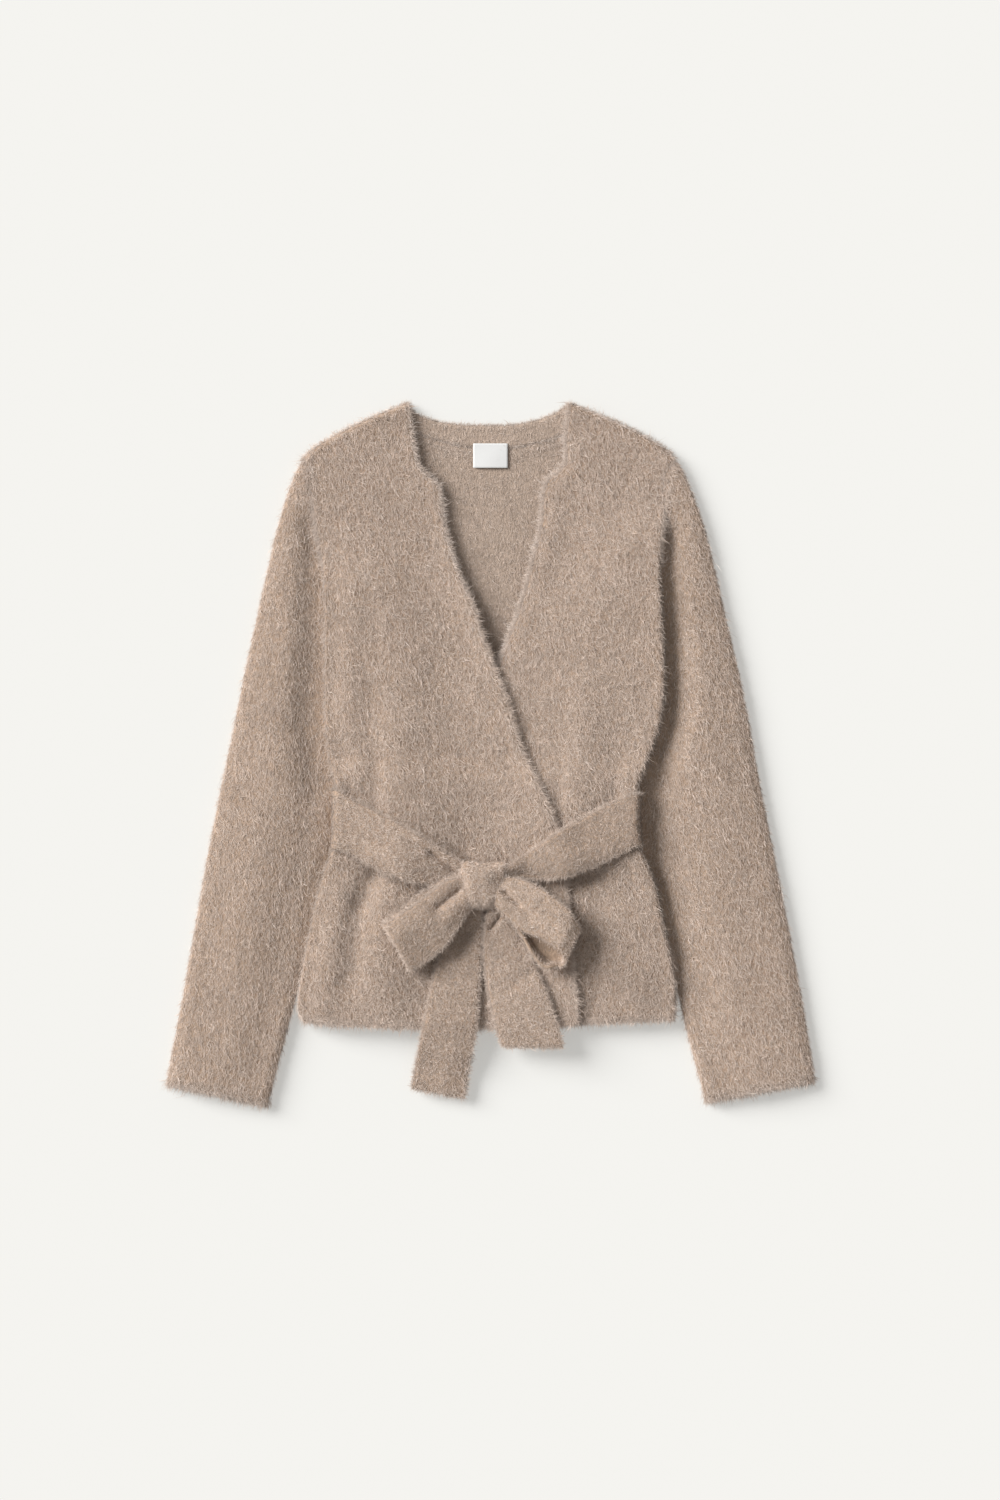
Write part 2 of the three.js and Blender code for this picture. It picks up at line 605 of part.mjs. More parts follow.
// A stretch of the belt from the knot, over the front and round the side of the body to its underside.
function beltFront(table) {
  const grid = strip(table, 13, topZ);
  const edge = grid[0];
  const side = edge[0].x < 0 ? "right" : "left";
  const turns = [180, 150, 120, 90, 60, 30].map((angle) =>
    edge.map(({ x, y, z }) => {
      const low = backZ(x, y) - KNIT - LAY;
      const radius = (z - low) / 2;
      const a = THREE.MathUtils.degToRad(angle);
      const body = Math.max(flank(side, y), flank(side, y - 5));
      const reach = body - 2 + (2 + BELT_LAY + KNIT / 2) * Math.sin(a);
      return new THREE.Vector3(Math.sign(x) * reach, y, low + radius * (1 + Math.cos(a)));
    }),
  );
  return [...turns, ...grid];
}

// The belt's stretch behind the body, which the body lies on.
function beltBack() {
  const reach = { right: flank("right", BELT_Y) - 3, left: flank("left", BELT_Y) - 3 };
  const count = 20;
  return Array.from({ length: count + 1 }, (_, i) =>
    [-0.5, -0.25, 0, 0.25, 0.5].map((t) => {
      const x = mix(-reach.right, reach.left, i / count);
      const y = BELT_Y + t * BELT_WIDTH;
      return new THREE.Vector3(x, y, Math.max(KNIT / 2, backZ(x, y) - KNIT - LAY));
    }),
  );
}

// A loop of the bow: the upper layer out to the fold and the lower layer back.
function loop(table) {
  const across = [0, 0.25, 0.5, 0.75, 1];
  const layer = (height) =>
    spaced(table, 7, "x0", "y0").map((section) =>
      across.map((t) => {
        const x = mix(section.x0, section.x1, t);
        const y = mix(section.y0, section.y1, t);
        const crown = height === "up" ? 2.2 * Math.sin(Math.PI * t) : 0;
        return new THREE.Vector3(x, y, topZ(x, y) + BELT_LAY + KNIT / 2 + section[height] + crown);
      }),
    );
  const upper = layer("up");
  const lower = layer("back");
  const end = upper.length - 1;
  const fold = [0.25, 0.5, 0.75].map((share) =>
    across.map((_, j) => {
      const a = upper[end][j];
      const b = lower[end][j];
      const out = a.clone().sub(upper[end - 1][j]).setZ(0).normalize();
      const p = a.clone().lerp(b, (1 - Math.cos(Math.PI * share)) / 2);
      return p.addScaledVector(out, Math.sin(Math.PI * share) * Math.min(3.2, a.distanceTo(b) / 2));
    }),
  );
  return [...upper, ...fold, ...lower.reverse()];
}

// The knot, one rounded solid.
function knot(grow = 0) {
  const rows = 9;
  const around = 18;
  const grid = [];
  for (let i = 0; i <= rows; i++) {
    const v = i / rows;
    const fall = Math.sqrt(Math.max(0, 1 - (2 * v - 1) ** 4));
    const y = mix(KNOT.top + grow, KNOT.bottom - grow, v);
    const halfWide = mix(KNOT.wideTop, KNOT.wideBottom, ease(0, 0.7, v)) * mix(0.72, 1, fall) + grow;
    const ring = [];
    for (let j = 0; j < around; j++) {
      const a = (2 * Math.PI * j) / around;
      const square = (c) => Math.sign(c) * Math.abs(c) ** 0.7;
      const bed = topZ(KNOT.x, y) + BELT_LAY;
      const half = ((KNOT.high - KNOT.low) / 2) * mix(0.35, 1, fall) + grow;
      const middle = bed + (KNOT.high + KNOT.low) / 2 - (1 - fall) * 2;
      const x = KNOT.x + halfWide * square(Math.cos(a));
      ring.push(new THREE.Vector3(x, y, middle + half * square(Math.sin(a))));
    }
    grid.push(ring);
  }
  return capped(grid);
}

// A closed solid round a stack of rings.
function capped(rings) {
  const around = rings[0].length;
  const positions = rings.flat().flatMap((p) => [p.x, p.y, p.z]);
  const index = [];
  for (let i = 0; i < rings.length - 1; i++) {
    for (let j = 0; j < around; j++) {
      const next = (j + 1) % around;
      const [a, b] = [i * around, (i + 1) * around];
      index.push(a + j, a + next, b + next, a + j, b + next, b + j);
    }
  }
  for (const [ring, turn] of [[0, 1], [rings.length - 1, -1]]) {
    const centre = positions.length / 3;
    const middle = rings[ring].reduce((sum, p) => sum.add(p), new THREE.Vector3()).divideScalar(around);
    positions.push(middle.x, middle.y, middle.z);
    for (let j = 0; j < around; j++) {
      const [a, b] = [ring * around + j, ring * around + ((j + 1) % around)];
      index.push(...(turn > 0 ? [centre, b, a] : [centre, a, b]));
    }
  }
  const geometry = new THREE.BufferGeometry();
  geometry.setAttribute("position", new THREE.Float32BufferAttribute(positions, 3));
  geometry.setIndex(index);
  return facingOut(geometry);
}

// The label, sewn to the inside of the back just under the neck band.
function label() {
  const rows = [0.5, 0.25, 0, -0.25, -0.5];
  return rows.map((v) =>
    rows.map((u) => {
      const x = LABEL.x - u * LABEL.wide;
      const y = LABEL.y + v * LABEL.tall;
      return new THREE.Vector3(x, y, backZ(x, y) + KNIT / 2 + SEAM + TAPE / 2);
    }),
  );
}

const wasm = await Module();
wasm.setup();

function solid(geometry) {
  const merged = mergeVertices(new THREE.BufferGeometry().copy(geometry).deleteAttribute("normal"));
  const vertProperties = merged.attributes.position.array;
  const triVerts = new Uint32Array(merged.index.array);
  return new wasm.Manifold(new wasm.Mesh({ numProp: 3, vertProperties, triVerts }));
}

// A piece cut short where the knot grips it.
function gripped(geometry, grip) {
  const mesh = solid(geometry).subtract(grip).getMesh();
  const cut = new THREE.BufferGeometry();
  cut.setAttribute("position", new THREE.BufferAttribute(mesh.vertProperties, 3));
  cut.setIndex(new THREE.BufferAttribute(mesh.triVerts, 1));
  cut.computeVertexNormals();
  return cut;
}

const knit = new THREE.MeshStandardMaterial({ color: 0xad9a8c, roughness: 0.95, metalness: 0 });
const beltKnit = new THREE.MeshStandardMaterial({ color: 0xb09d8f, roughness: 0.95, metalness: 0 });
const woven = new THREE.MeshStandardMaterial({ color: 0xece9e4, roughness: 0.7, metalness: 0 });

const cardigan = new THREE.Group();
function add(name, geometry, material = knit) {
  const mesh = new THREE.Mesh(geometry, material);
  mesh.name = name;
  cardigan.add(mesh);
}

add("back", wall(back(), KNIT));
add("neck_band", wall(neckBand(), KNIT));
add("neck_label", wall(label(), TAPE), woven);
add("front_left", wall(front("left", LEFT_FRONT, frontZ), KNIT));
add("front_right", wall(front("right", RIGHT_FRONT, overlapZ), KNIT));
add("sleeve_right", wall(sleeve("right", RIGHT_SLEEVE), KNIT, true));
add("sleeve_left", wall(sleeve("left", LEFT_SLEEVE), KNIT, true));

const grip = solid(knot(SEAM));
add("belt_knot", knot(), beltKnit);
add("belt_back", wall(beltBack(), KNIT), beltKnit);
add("belt_right", gripped(wall(beltFront(BELT_RIGHT), KNIT), grip), beltKnit);
add("belt_left", gripped(wall(beltFront(BELT_LEFT), KNIT), grip), beltKnit);
add("belt_tail_right", gripped(wall(strip(TAIL_RIGHT, 16, tailBed), KNIT), grip), beltKnit);
add("belt_tail_left", gripped(wall(strip(TAIL_LEFT, 14, tailBed), KNIT), grip), beltKnit);
add("belt_loop_right", gripped(wall(loop(LOOP_RIGHT), KNIT), grip), beltKnit);
add("belt_loop_left", gripped(wall(loop(LOOP_LEFT), KNIT), grip), beltKnit);

export default cardigan;
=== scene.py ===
import bmesh
import bpy
import numpy as np
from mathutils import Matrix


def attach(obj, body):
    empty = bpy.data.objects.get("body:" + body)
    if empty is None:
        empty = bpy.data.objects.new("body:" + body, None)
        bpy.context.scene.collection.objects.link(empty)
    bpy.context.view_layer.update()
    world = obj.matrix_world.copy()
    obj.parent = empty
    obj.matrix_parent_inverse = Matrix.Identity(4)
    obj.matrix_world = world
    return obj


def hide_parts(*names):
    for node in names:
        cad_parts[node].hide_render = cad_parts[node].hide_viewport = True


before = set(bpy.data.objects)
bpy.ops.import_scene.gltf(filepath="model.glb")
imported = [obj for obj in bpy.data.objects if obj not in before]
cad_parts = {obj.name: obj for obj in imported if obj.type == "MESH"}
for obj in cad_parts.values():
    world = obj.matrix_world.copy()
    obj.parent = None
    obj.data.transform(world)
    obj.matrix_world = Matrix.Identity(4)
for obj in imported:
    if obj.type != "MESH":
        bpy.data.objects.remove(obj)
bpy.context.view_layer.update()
rng = np.random.default_rng(20)
MM = 0.001

# Cloth: the layer that a piece takes up, the wall of its knit shell, and the gaps between pieces.
KNIT = 4
SHELL = 2.6
SEAM = 0.35
ARMHOLE_GAP = 0.4
LAY = 0.9
BELT_LAY = 1.4
EDGE_GAP = 0.9
BELT_INSET = 1.6
BAND_LAY = 0.5
TAPE = 0.8
TAPE_LAY = 0.7

# Heights: the air between the layers, how far they are lifted, and how edges turn.
AIR = 3
AIR_SIDE = 1.7
AIR_WAIST = 1.4
AIR_LEAST = 1
SLEEVE_AIR = 3.4
SLEEVE_AIR_PRESSED = 0.8
SLEEVE_LIFT = 9.4
SLEEVE_CROWN = 5.5
BELT_LIFT = 5.6
CURL = 2.4
CURL_LEAST_DROP = 0.4
SHOULDER_TURN = 1.1
SIDE_IN = 2.2
RISE_WIDTH = 84
HEM_RISE = 0.4
RIGHT_SIDE_LIFT = -1.8
LEFT_SIDE_LIFT = (2.2, 3.8)
ROLL_WIDTH = 12
SIDE_FLAT = 6
SIDE_WIDTH = 30
BELT_BOW = 0.9
BELT_ROUND = 2
BELT_IN = 3
LOOP_BOW = 2.4
LOOP_BULGE = 3.2

# How much of each table's height is used.
RIDGE_SHARE = 0.4
TROUGH_SHARE = 0.4
CREASE_SHARE = 0.6
SLEEVE_TROUGH_SHARE = 0.35

# Places along Y
SHOULDER_Y = 300.5
TUCK_TOP_Y = 280
ARMHOLE_CLOSED_Y = 190
UNDERARM_Y = 98.5
BELT_Y = -65
BELT_LOW_Y = -88
BODY_LOW_Y = -258
BED_LOW_Y = -262
BACK_HEM_Y = -262.5

# Stretches of Y over which something starts or ends.
RIGHT_RISES = (236, 150)
LEFT_RISES = (264, 188)
HEM_RISES = (-276, -206)
SIDE_CLOSES = (230, 180)
ROLL_STARTS = (330, 290)
RIGHT_SIDE_STARTS = (235, 180)
LEFT_SIDE_STARTS = (225, 120)
LEFT_SIDE_GROWS = (-90, 0)
HEM_DIPS = (-150, -268)
HEM_SCALLOPS = (-256, -266)
SHOULDER_BOWS = (255, 300)
SHOULDER_TIPS = (270, 300)
SHOULDER_WIDENS = (196, 262)
SIDE_TURNS = (216, 178)
BACK_NARROWS = (236, 200)
CUFF_FREE = (-215, -262)
SHOULDER_FREE = (205, 235)

# Sizes in the plan
TUCK = 61
BELT_WIDTH = 54
WAIST_MARGIN = 6
OVERLAP_RAMP = 120
OVERLAP_FULL = 2
HEM_DIP = 5
SCALLOP = {"high": 0.7, "pitch": 0.62}
SHOULDER_BOW = 3.4
SHOULDER_TIP = 3
SHOULDER_WIDER = 2.4


def rows(columns, *values):
    """A short table with named columns."""
    return {name: np.array(column, float) for name, column in zip(columns.split(), zip(*values))}


# The body's edges, as distances from the middle line.
FLANK = rows(
    "y left right",
    (300.5, 179.5, 182.5), (273.5, 173.5, 178.5), (243.5, 170.5, 173.5), (208.5, 168.5, 169.5),
    (173.5, 169, 166.5), (133.5, 170.5, 165.5), (73.5, 173.5, 165.5), (38.5, 170.5, 165),
    (3.5, 160, 162.5), (-15, 153.5, 159), (-36, 147, 154), (-66, 145.5, 153.5),
    (-88, 147.5, 155), (-100, 152, 159.5), (-110, 156.5, 163), (-131.5, 164.5, 170.5), (-171.5, 173, 179.5),
    (-206.5, 180.5, 186), (-236.5, 184, 191.5), (-258.5, 184.5, 192.5), (-265.5, 180, 188),
)

# The sleeves' inner edges below the underarm, as distances from the middle line.
UNDERARM = rows(
    "y left right",
    (98.5, 111, 104.5), (73.5, 116, 110), (38.5, 125, 121), (3.5, 134, 136), (-33, 138, 142.5),
    (-66, 142, 147), (-98, 148, 153), (-131.5, 157.5, 163), (-171.5, 169, 174.5),
    (-206.5, 178.5, 184), (-228.5, 184.5, 190), (-277, 195.5, 203),
    (-313.5, 205, 212.5), (-350, 215, 222),
)

# Sections of the fronts, from the side to the edge.
RIGHT_FRONT = rows(
    "side x y",
    (300.5, -84.5, 349.5), (287.5, -82.5, 331.5), (262, -78.5, 308.5), (240, -75.5, 289.5),
    (222, -64.5, 276.5), (208, -53.5, 267.5), (190, -51.5, 248.5), (165, -45.5, 216.5),
    (135, -33.5, 177.5), (110, -20.5, 148.5), (85, -10.5, 115.5), (60, -0.5, 90.5),
    (30, 11.5, 59.5), (-15, 31.5, -1.5), (-45, 49.5, -38.5), (-80, 64.5, -75.5),
    (-115, 71.5, -114.5), (-160, 75.5, -161.5), (-210, 79.5, -216.5), (-258, 84.5, -259.5),
    (-265.5, 84.5, -267),
)
LEFT_FRONT = rows(
    "side x y",
    (300.5, 80.5, 349), (287.5, 79.5, 331.5), (262, 77, 313.5), (240, 78, 291.5),
    (222, 67.5, 278.5), (208, 58.5, 271.5), (190, 54.5, 258.5), (165, 53, 231.5),
    (135, 44.5, 193.5), (110, 33.5, 151.5), (85, 22.5, 121), (60, 14, 98.5), (30, -6, 59.5),
    (-15, -30, -1.5), (-45, -46, -38.5), (-80, -60, -75.5), (-115, -68, -114.5),
    (-160, -73, -161.5), (-210, -77, -216.5), (-258, -80, -255), (-262, -80, -262),
)

# The back neck: the band's free edge, and its seam to the back.
NECK = rows(
    "x y seamX seamY",
    (-83.5, 349.5, -100.5, 341.2), (-78.5, 341, -90.5, 331.5), (-62, 333, -71, 321),
    (-42, 328.6, -48, 313.5), (-14, 326.6, -16, 307.5), (14, 326.6, 16, 307.5),
    (42, 330.8, 47, 312), (61, 337, 70, 319), (73, 344, 87, 331), (79.5, 349, 97, 341.2),
)

# Sections of the sleeves from the armhole to the cuff.
RIGHT_SLEEVE = rows(
    "x y inner bow",
    (-183.3, 297.5, 98.5, 1), (-192.5, 285, 94, 0.84), (-202, 261, 88, 0.66), (-211, 232, 81, 0.46),
    (-222, 186, 70, 0.22), (-232, 142, 54, 0.06), (-245, 84, 28, 0), (-256, 30, -8, 0),
    (-270.5, -39.5, -66, 0), (-282.5, -100.5, -122, 0), (-294.5, -168, -186, 0),
    (-306.5, -236, -254, 0), (-318.5, -299, -318, 0), (-323.5, -327, -349, 0),
)
LEFT_SLEEVE = rows(
    "x y inner bow",
    (180.3, 297.5, 98.5, 1), (190.5, 286, 94, 0.84), (200, 264, 88, 0.66), (210.5, 236, 81, 0.46),
    (221.5, 194, 70, 0.22), (233.5, 142, 54, 0.06), (247.5, 84, 28, 0), (259, 26, -8, 0),
    (272, -45, -66, 0), (284, -104, -122, 0), (297, -170, -186, 0), (309.5, -237, -254, 0),
    (320, -299, -316, 0), (323.5, -324, -345, 0),
)

# Soft ridges that lift the front and the back together.
RIDGES = rows(
    "x0 y0 x1 y1 wide high",
    (-152, -125, -170, -262, 14, 2.6), (-92, -140, -104, -265, 18, 2.4),
    (128, -125, 146, -262, 16, 2.8), (-142, -20, -146, 95, 14, 1.6), (-84, -20, -78, 110, 22, 2),
    (98, -20, 92, 70, 16, 2.4), (142, -10, 150, 95, 14, 2), (20, 10, 70, 130, 30, 1.6),
)

# Broad swells, where the front stands off the back.
PILLOWS = rows(
    "x0 y0 x1 y1 wide high",
    (30, 170, 24, 30, 62, 4.6), (52, -205, 56, -230, 52, 2.6),
)

# Troughs, where the front sinks towards the back.
TROUGHS = rows(
    "x0 y0 x1 y1 wide high",
    (-118, -112, -138, -215, 12, 2), (102, -118, 104, -240, 13, 2), (-114, -40, -122, 30, 10, 1.8),
    (74, -70, 66, 10, 11, 1.6), (122, -45, 124, 20, 9, 1.4),
)

# Soft creases in the fronts, above and below the plane of the cloth.
CREASES = rows(
    "x0 y0 x1 y1 wide high",
    (-120, 165, -121, 40, 14, -1.8), (-113, -14, -116, -58, 8, -3), (-128, 0, -134, -30, 8, 1.5),
    (-98, 20, -95, -48, 14, 1.6), (68, -22, 66, -70, 8, -2.4), (88, -20, 90, -50, 11, 2.2),
    (122, -30, 122, -58, 8, -2.2), (140, -22, 139, -48, 8, 1.6), (-116, -119, -131, -150, 13, -6),
    (-131, -150, -140, -222, 15, -6), (-84, -130, -114, -117, 10, -3.4), (76, -132, 106, -120, 10, -4),
    (80, -160, 110, -237, 12, -2.6), (150, -110, 158, -240, 14, 1.6), (-160, -120, -172, -235, 14, 1.4),
    (30, 100, 44, 180, 20, 1.5), (130, 30, 138, 160, 20, 1.4), (60, -45, 68, -78, 10, -1.6),
    (-141, -34, -28, -98, 7.5, -5.6), (26, -98, 128, -40, 5, -1.6),
    (-26, -160, -50, -205, 12, -4),
)

# Long folds in the sleeves.
SLEEVE_TROUGHS = rows(
    "x0 y0 x1 y1 wide high",
    (-168, 262, -174, 226, 9, 1.6), (-174, 226, -174, 180, 16, 3),
    (-174, 180, -174, 127, 22, 3.4), (-174, 127, -178, 78, 22, 3.4), (-178, 78, -184, 30, 22, 3),
    (-184, 30, -178, -36, 20, 2), (176, 215, 182, 120, 13, 2.6), (182, 120, 180, 30, 13, 2.6),
    (180, 30, 158, -80, 12, 2), (158, -80, 190, -200, 10, 1.4),
    (-268, -150, -276, -290, 18, 0.7), (252, -120, 268, -280, 18, 0.7),
)

# The belt's parts, in sections across the strip: its two edges and how far it lies above the cloth.
BELT_RIGHT = rows(
    "x0 y0 x1 y1 up edge",
    (-150, -36, -150, -96, 0, 0.4), (-141, -43, -141, -99, 0, 0.3), (-114, -57, -114, -114, 0, 1.8),
    (-83, -74, -84, -126, 0.6, 4.4), (-58, -89, -58, -131, 1.6, 3.8), (-37, -103, -37, -131, 3, 1.6),
    (-24, -110, -24, -131, 4.6, 0), (-8, -113, -8, -130, 5, 0),
)
BELT_LEFT = rows(
    "x0 y0 x1 y1 up edge",
    (141.5, -40, 143, -92, 0, 0.4), (134, -43.5, 136, -96, 0, 0.5), (112, -53, 113, -107, 0, 2.6),
    (88, -66, 90, -117, 0.8, 5), (66, -79, 64, -125, 2.2, 4), (38, -98.5, 36, -124.5, 5, 2),
    (18, -111.5, 18, -124, 11.5, 0), (0, -118, 0, -127, 14, 0),
)
TAIL_RIGHT = rows(
    "x0 y0 x1 y1 up",
    (-24, -136, -9, -138, 15), (-29, -152, -8.6, -154, 9), (-39, -176, -8.4, -179, 0.8),
    (-51, -202, -9.4, -206, 0), (-58, -228, -11.4, -233, 0), (-65, -262, -13, -266, 0.2),
    (-71, -290, -18, -296, -4.5), (-76, -316, -23, -325, -11.2), (-79, -333, -25, -343, -11.9),
)
TAIL_LEFT = rows(
    "x0 y0 x1 y1 up",
    (-1, -140, 12, -139, 14), (-3, -158, 18, -156, 8), (-6.2, -178, 27, -176, 2.8),
    (-7, -200, 38, -198, 0.4), (-4, -228, 50, -224, 0), (3, -262, 63, -258, 0.2),
    (9, -284, 70, -282, -1.6), (11, -290.5, 72.5, -291.5, -2.4),
)
# The bow's loops, from the knot out to the fold: the upper layer's edges, the lower layer's edges,
# how far each layer lies above the cloth, and how high the lower layer's second edge curls.
LOOP_RIGHT = rows(
    "x0 y0 x1 y1 x2 y2 x3 y3 up back curl",
    (-20, -123, -20, -153, -20, -120, -20, -151, 15, 7, 0),
    (-41, -127, -31, -168, -41, -123, -31, -166, 16, 7.4, 0),
    (-63, -143, -45, -189, -65, -138, -45, -187, 14.4, 6, 0),
    (-84, -158, -62, -203, -86, -154, -62, -202, 11, 3.4, 0),
    (-102, -169, -77, -213, -103, -167, -77, -212, 7, 1, 0),
)
LOOP_LEFT = rows(
    "x0 y0 x1 y1 x2 y2 x3 y3 up back curl",
    (6, -123, 4, -150, 6, -123, 4, -150, 16, 6.4, 0),
    (26, -125, 18, -162, 26, -125, 18, -163, 16.6, 7, 0),
    (44, -132, 34, -176, 44, -132, 33, -184, 17, 2, 9),
    (61, -143, 50, -182, 61, -143, 43, -201, 17.4, 0, 14),
    (77, -156, 66, -192, 78, -156, 56, -213, 17, 0, 15),
    (86.5, -173, 74, -202, 86.5, -174, 67.5, -211.5, 12.6, 0.6, 8),
)

# Creases in the belt and the bow.
BELT_CREASES = rows(
    "x0 y0 x1 y1 wide high",
    (-60, -99, -33, -119, 3.8, -3.4), (-80, -89, -56, -101, 5, -1.2), (-52, -91, -31, -108, 6, 2.2),
    (-100, -80, -120, -88, 12, -0.6), (96, -82, 120, -76, 12, -0.6), (24, -118, 52, -122, 3, -1.4),
)
LOOP_CREASES = rows(
    "x0 y0 x1 y1 wide high",
    (-52, -152, -31, -136, 4.5, -4.2), (-64, -158, -90, -178, 12, 1.6), (-46, -168, -26, -146, 6, 1.4),
    (14, -138, 27, -149, 3.6, -3.8), (20, -131, 44, -146, 6, 1.2), (40, -164, 30, -150, 5, -1),
)
TAIL_CREASES = rows(
    "x0 y0 x1 y1 wide high",
    (9, -162, 0, -174, 3, -6), (-14, -150, -34, -188, 12, -2.4), (12, -158, 22, -182, 6, 1.6),
    (20, -230, 44, -214, 7, -1.2), (-22, -176, -30, -200, 8, -1.2), (-40, -300, -46, -330, 14, 1.4),
)
KNOT = {
    "x0": -6, "x1": -10.5, "top": -108.5, "bottom": -153, "wide_top": 23.5, "wide_bottom": 18.5,
    "low": 0.6, "high": 24, "squareness": 0.85, "pull": 2.4, "down": 1.2,
}
# The left loop's opening: the line along its middle, half its width, and how far from the line
# its pile stays thin.
OPENING = {"x0": 39, "y0": -186, "x1": 62, "y1": -200, "wide": 11, "deep": 6}
LABEL = {"x": 0, "y": 297.5, "wide": 34, "tall": 24}


def mix(a, b, t):
    return a + (b - a) * t


def ease(start, end, value):
    """0 at start, 1 at end and smooth between them."""
    t = np.clip((value - start) / (end - start), 0, 1)
    return t * t * (3 - 2 * t)


def through(table, by):
    """The table's row at any value of its column by, with each column passing smoothly through its rows."""
    key = table[by]
    turn = np.sign(key[-1] - key[0])
    slopes = {}
    for name, column in table.items():
        steps = np.diff(column) / np.diff(key)
        before, after = steps[:-1], steps[1:]
        same = before * after > 0
        inner = np.where(same, 2 * before * after / np.where(same, before + after, 1), 0)
        slopes[name] = np.concatenate([steps[:1], inner, steps[-1:]])

    def at(value):
        value = np.asarray(value, float)
        k = np.clip(np.searchsorted(turn * key, turn * value, side="right") - 1, 0, len(key) - 2)
        span = key[k + 1] - key[k]
        t = np.clip((value - key[k]) / span, 0, 1)
        row = {}
        for name, column in table.items():
            slope = slopes[name]
            bend = slope[k] * t * (1 - t) ** 2 - slope[k + 1] * t * t * (1 - t)
            row[name] = mix(column[k], column[k + 1], t * t * (3 - 2 * t)) + span * bend
        return row

    return at


def spaced(table, count, x="x", y="y"):
    """count + 1 rows, spaced evenly along the way that the point named by x and y goes."""
    far = np.concatenate([[0], np.cumsum(np.hypot(np.diff(table[x]), np.diff(table[y])))])
    return through({**table, "far": far}, "far")(np.linspace(0, far[-1], count + 1))


flank_at = through(FLANK, "y")
underarm_at = through(UNDERARM, "y")
left_edge_at = through(LEFT_FRONT, "y")
right_edge_at = through(RIGHT_FRONT, "y")


def flank(side, y):
    return flank_at(y)[side]


def sleeve_edge(side, y):
    """The sleeve's edge inside the armhole and under the body, as a distance from the middle line."""
    tucked = flank(side, y) + ARMHOLE_GAP - TUCK * ease(ARMHOLE_CLOSED_Y, UNDERARM_Y, y)
    return np.where(y < UNDERARM_Y, underarm_at(y)[side], tucked)


def by_side(measure, x, y):
    return np.where(x < 0, measure("right", y), measure("left", y))


def folds(table, x, y, join=np.add):
    """The height of a table's folds: full on their lines, nothing two widths away."""
    total = np.zeros(np.broadcast(x, y).shape)
    for x0, y0, x1, y1, wide, high in zip(*table.values()):
        dx, dy = x1 - x0, y1 - y0
        t = np.clip(((x - x0) * dx + (y - y0) * dy) / (dx * dx + dy * dy), 0, 1)
        off = ((x - x0 - t * dx) ** 2 + (y - y0 - t * dy) ** 2) / wide**2
        total = join(total, high * np.maximum(0, np.exp(-off) - np.exp(-4)) / (1 - np.exp(-4)))
    return total


def at_waist(y, reach):
    """1 under the belt, falling to 0 at reach beyond its edges."""
    return 1 - ease(BELT_WIDTH / 2 + WAIST_MARGIN, BELT_WIDTH / 2 + reach, np.abs(y - BELT_Y))


def over_sleeve(x, y):
    """How far the body has risen onto the sleeve that lies under it, from 0 to 1."""
    tucked = by_side(flank, x, y) - TUCK * ease(TUCK_TOP_Y, UNDERARM_Y, y)
    inside = np.minimum(by_side(sleeve_edge, x, y), tucked) - np.abs(x)
    level = np.where(x < 0, ease(*RIGHT_RISES, y), ease(*LEFT_RISES, y))
    return (1 - ease(0, RISE_WIDTH, inside)) * level * mix(HEM_RISE, 1, ease(*HEM_RISES, y))


# The heights of the layers' middle surfaces, from the floor up.
def back_z(x, y):
    side = over_sleeve(x, y)
    lift = SLEEVE_LIFT * side + BELT_LIFT * at_waist(y, reach=40)
    return KNIT / 2 + lift + RIDGE_SHARE * folds(RIDGES, x, y) * (1 - at_waist(y, reach=34))


def air(x, y):
    from_side = by_side(flank, x, y) - np.abs(x)
    plain = mix(AIR, AIR_SIDE, (1 - ease(SIDE_FLAT, SIDE_WIDTH, from_side)) * ease(*SIDE_CLOSES, y))
    waisted = mix(plain, AIR_WAIST, at_waist(y, reach=60))
    return np.maximum(AIR_LEAST, waisted + folds(PILLOWS, x, y) - TROUGH_SHARE * folds(TROUGHS, x, y))


def front_z(x, y):
    return back_z(x, y) + KNIT + air(x, y)


def overlap_z(x, y):
    """The right front's height: it rises a layer where it laps over the left front."""
    edge = left_edge_at(y)["x"]
    return front_z(x, y) + (KNIT + LAY) * ease(edge - OVERLAP_RAMP, edge - OVERLAP_FULL, x)


def rolled(height, edge_at, sign, lift):
    """The same height with a front's free edge curling up a little, as knitted edges do."""

    def at(x, y):
        near = (edge_at(y)["x"] - x) * sign
        flatter = 1 - 0.6 * at_waist(y, reach=30)
        return height(x, y) + lift * ease(ROLL_WIDTH, 0, near) * ease(*ROLL_STARTS, y) * flatter

    return at


def creased(height):
    """The same height with this garment's creases, round at its right side and lifted at its left one."""

    def at(x, y):
        near = ease(SIDE_WIDTH, 0, by_side(flank, x, y) - np.abs(x)) * (1 - at_waist(y, reach=30))
        left = near * ease(*LEFT_SIDE_STARTS, y) * mix(*LEFT_SIDE_LIFT, ease(*LEFT_SIDE_GROWS, y))
        lift = np.where(x < 0, RIGHT_SIDE_LIFT * near * ease(*RIGHT_SIDE_STARTS, y), left)
        return height(x, y) + CREASE_SHARE * folds(CREASES, x, y) + lift

    return at


def top_z(x, y):
    """The top of the cloth that the belt lies on, eased over the right front's edge."""
    edge = right_edge_at(y)["x"]
    return mix(overlap_z(x, y), front_z(x, y), ease(edge + 5, edge + 24, x)) + KNIT / 2


def stack(x, y, z):
    return np.stack(np.broadcast_arrays(x, y, z), -1).astype(float)


def unit(v):
    return v / np.maximum(np.linalg.norm(v, axis=-1, keepdims=True), 1e-9)


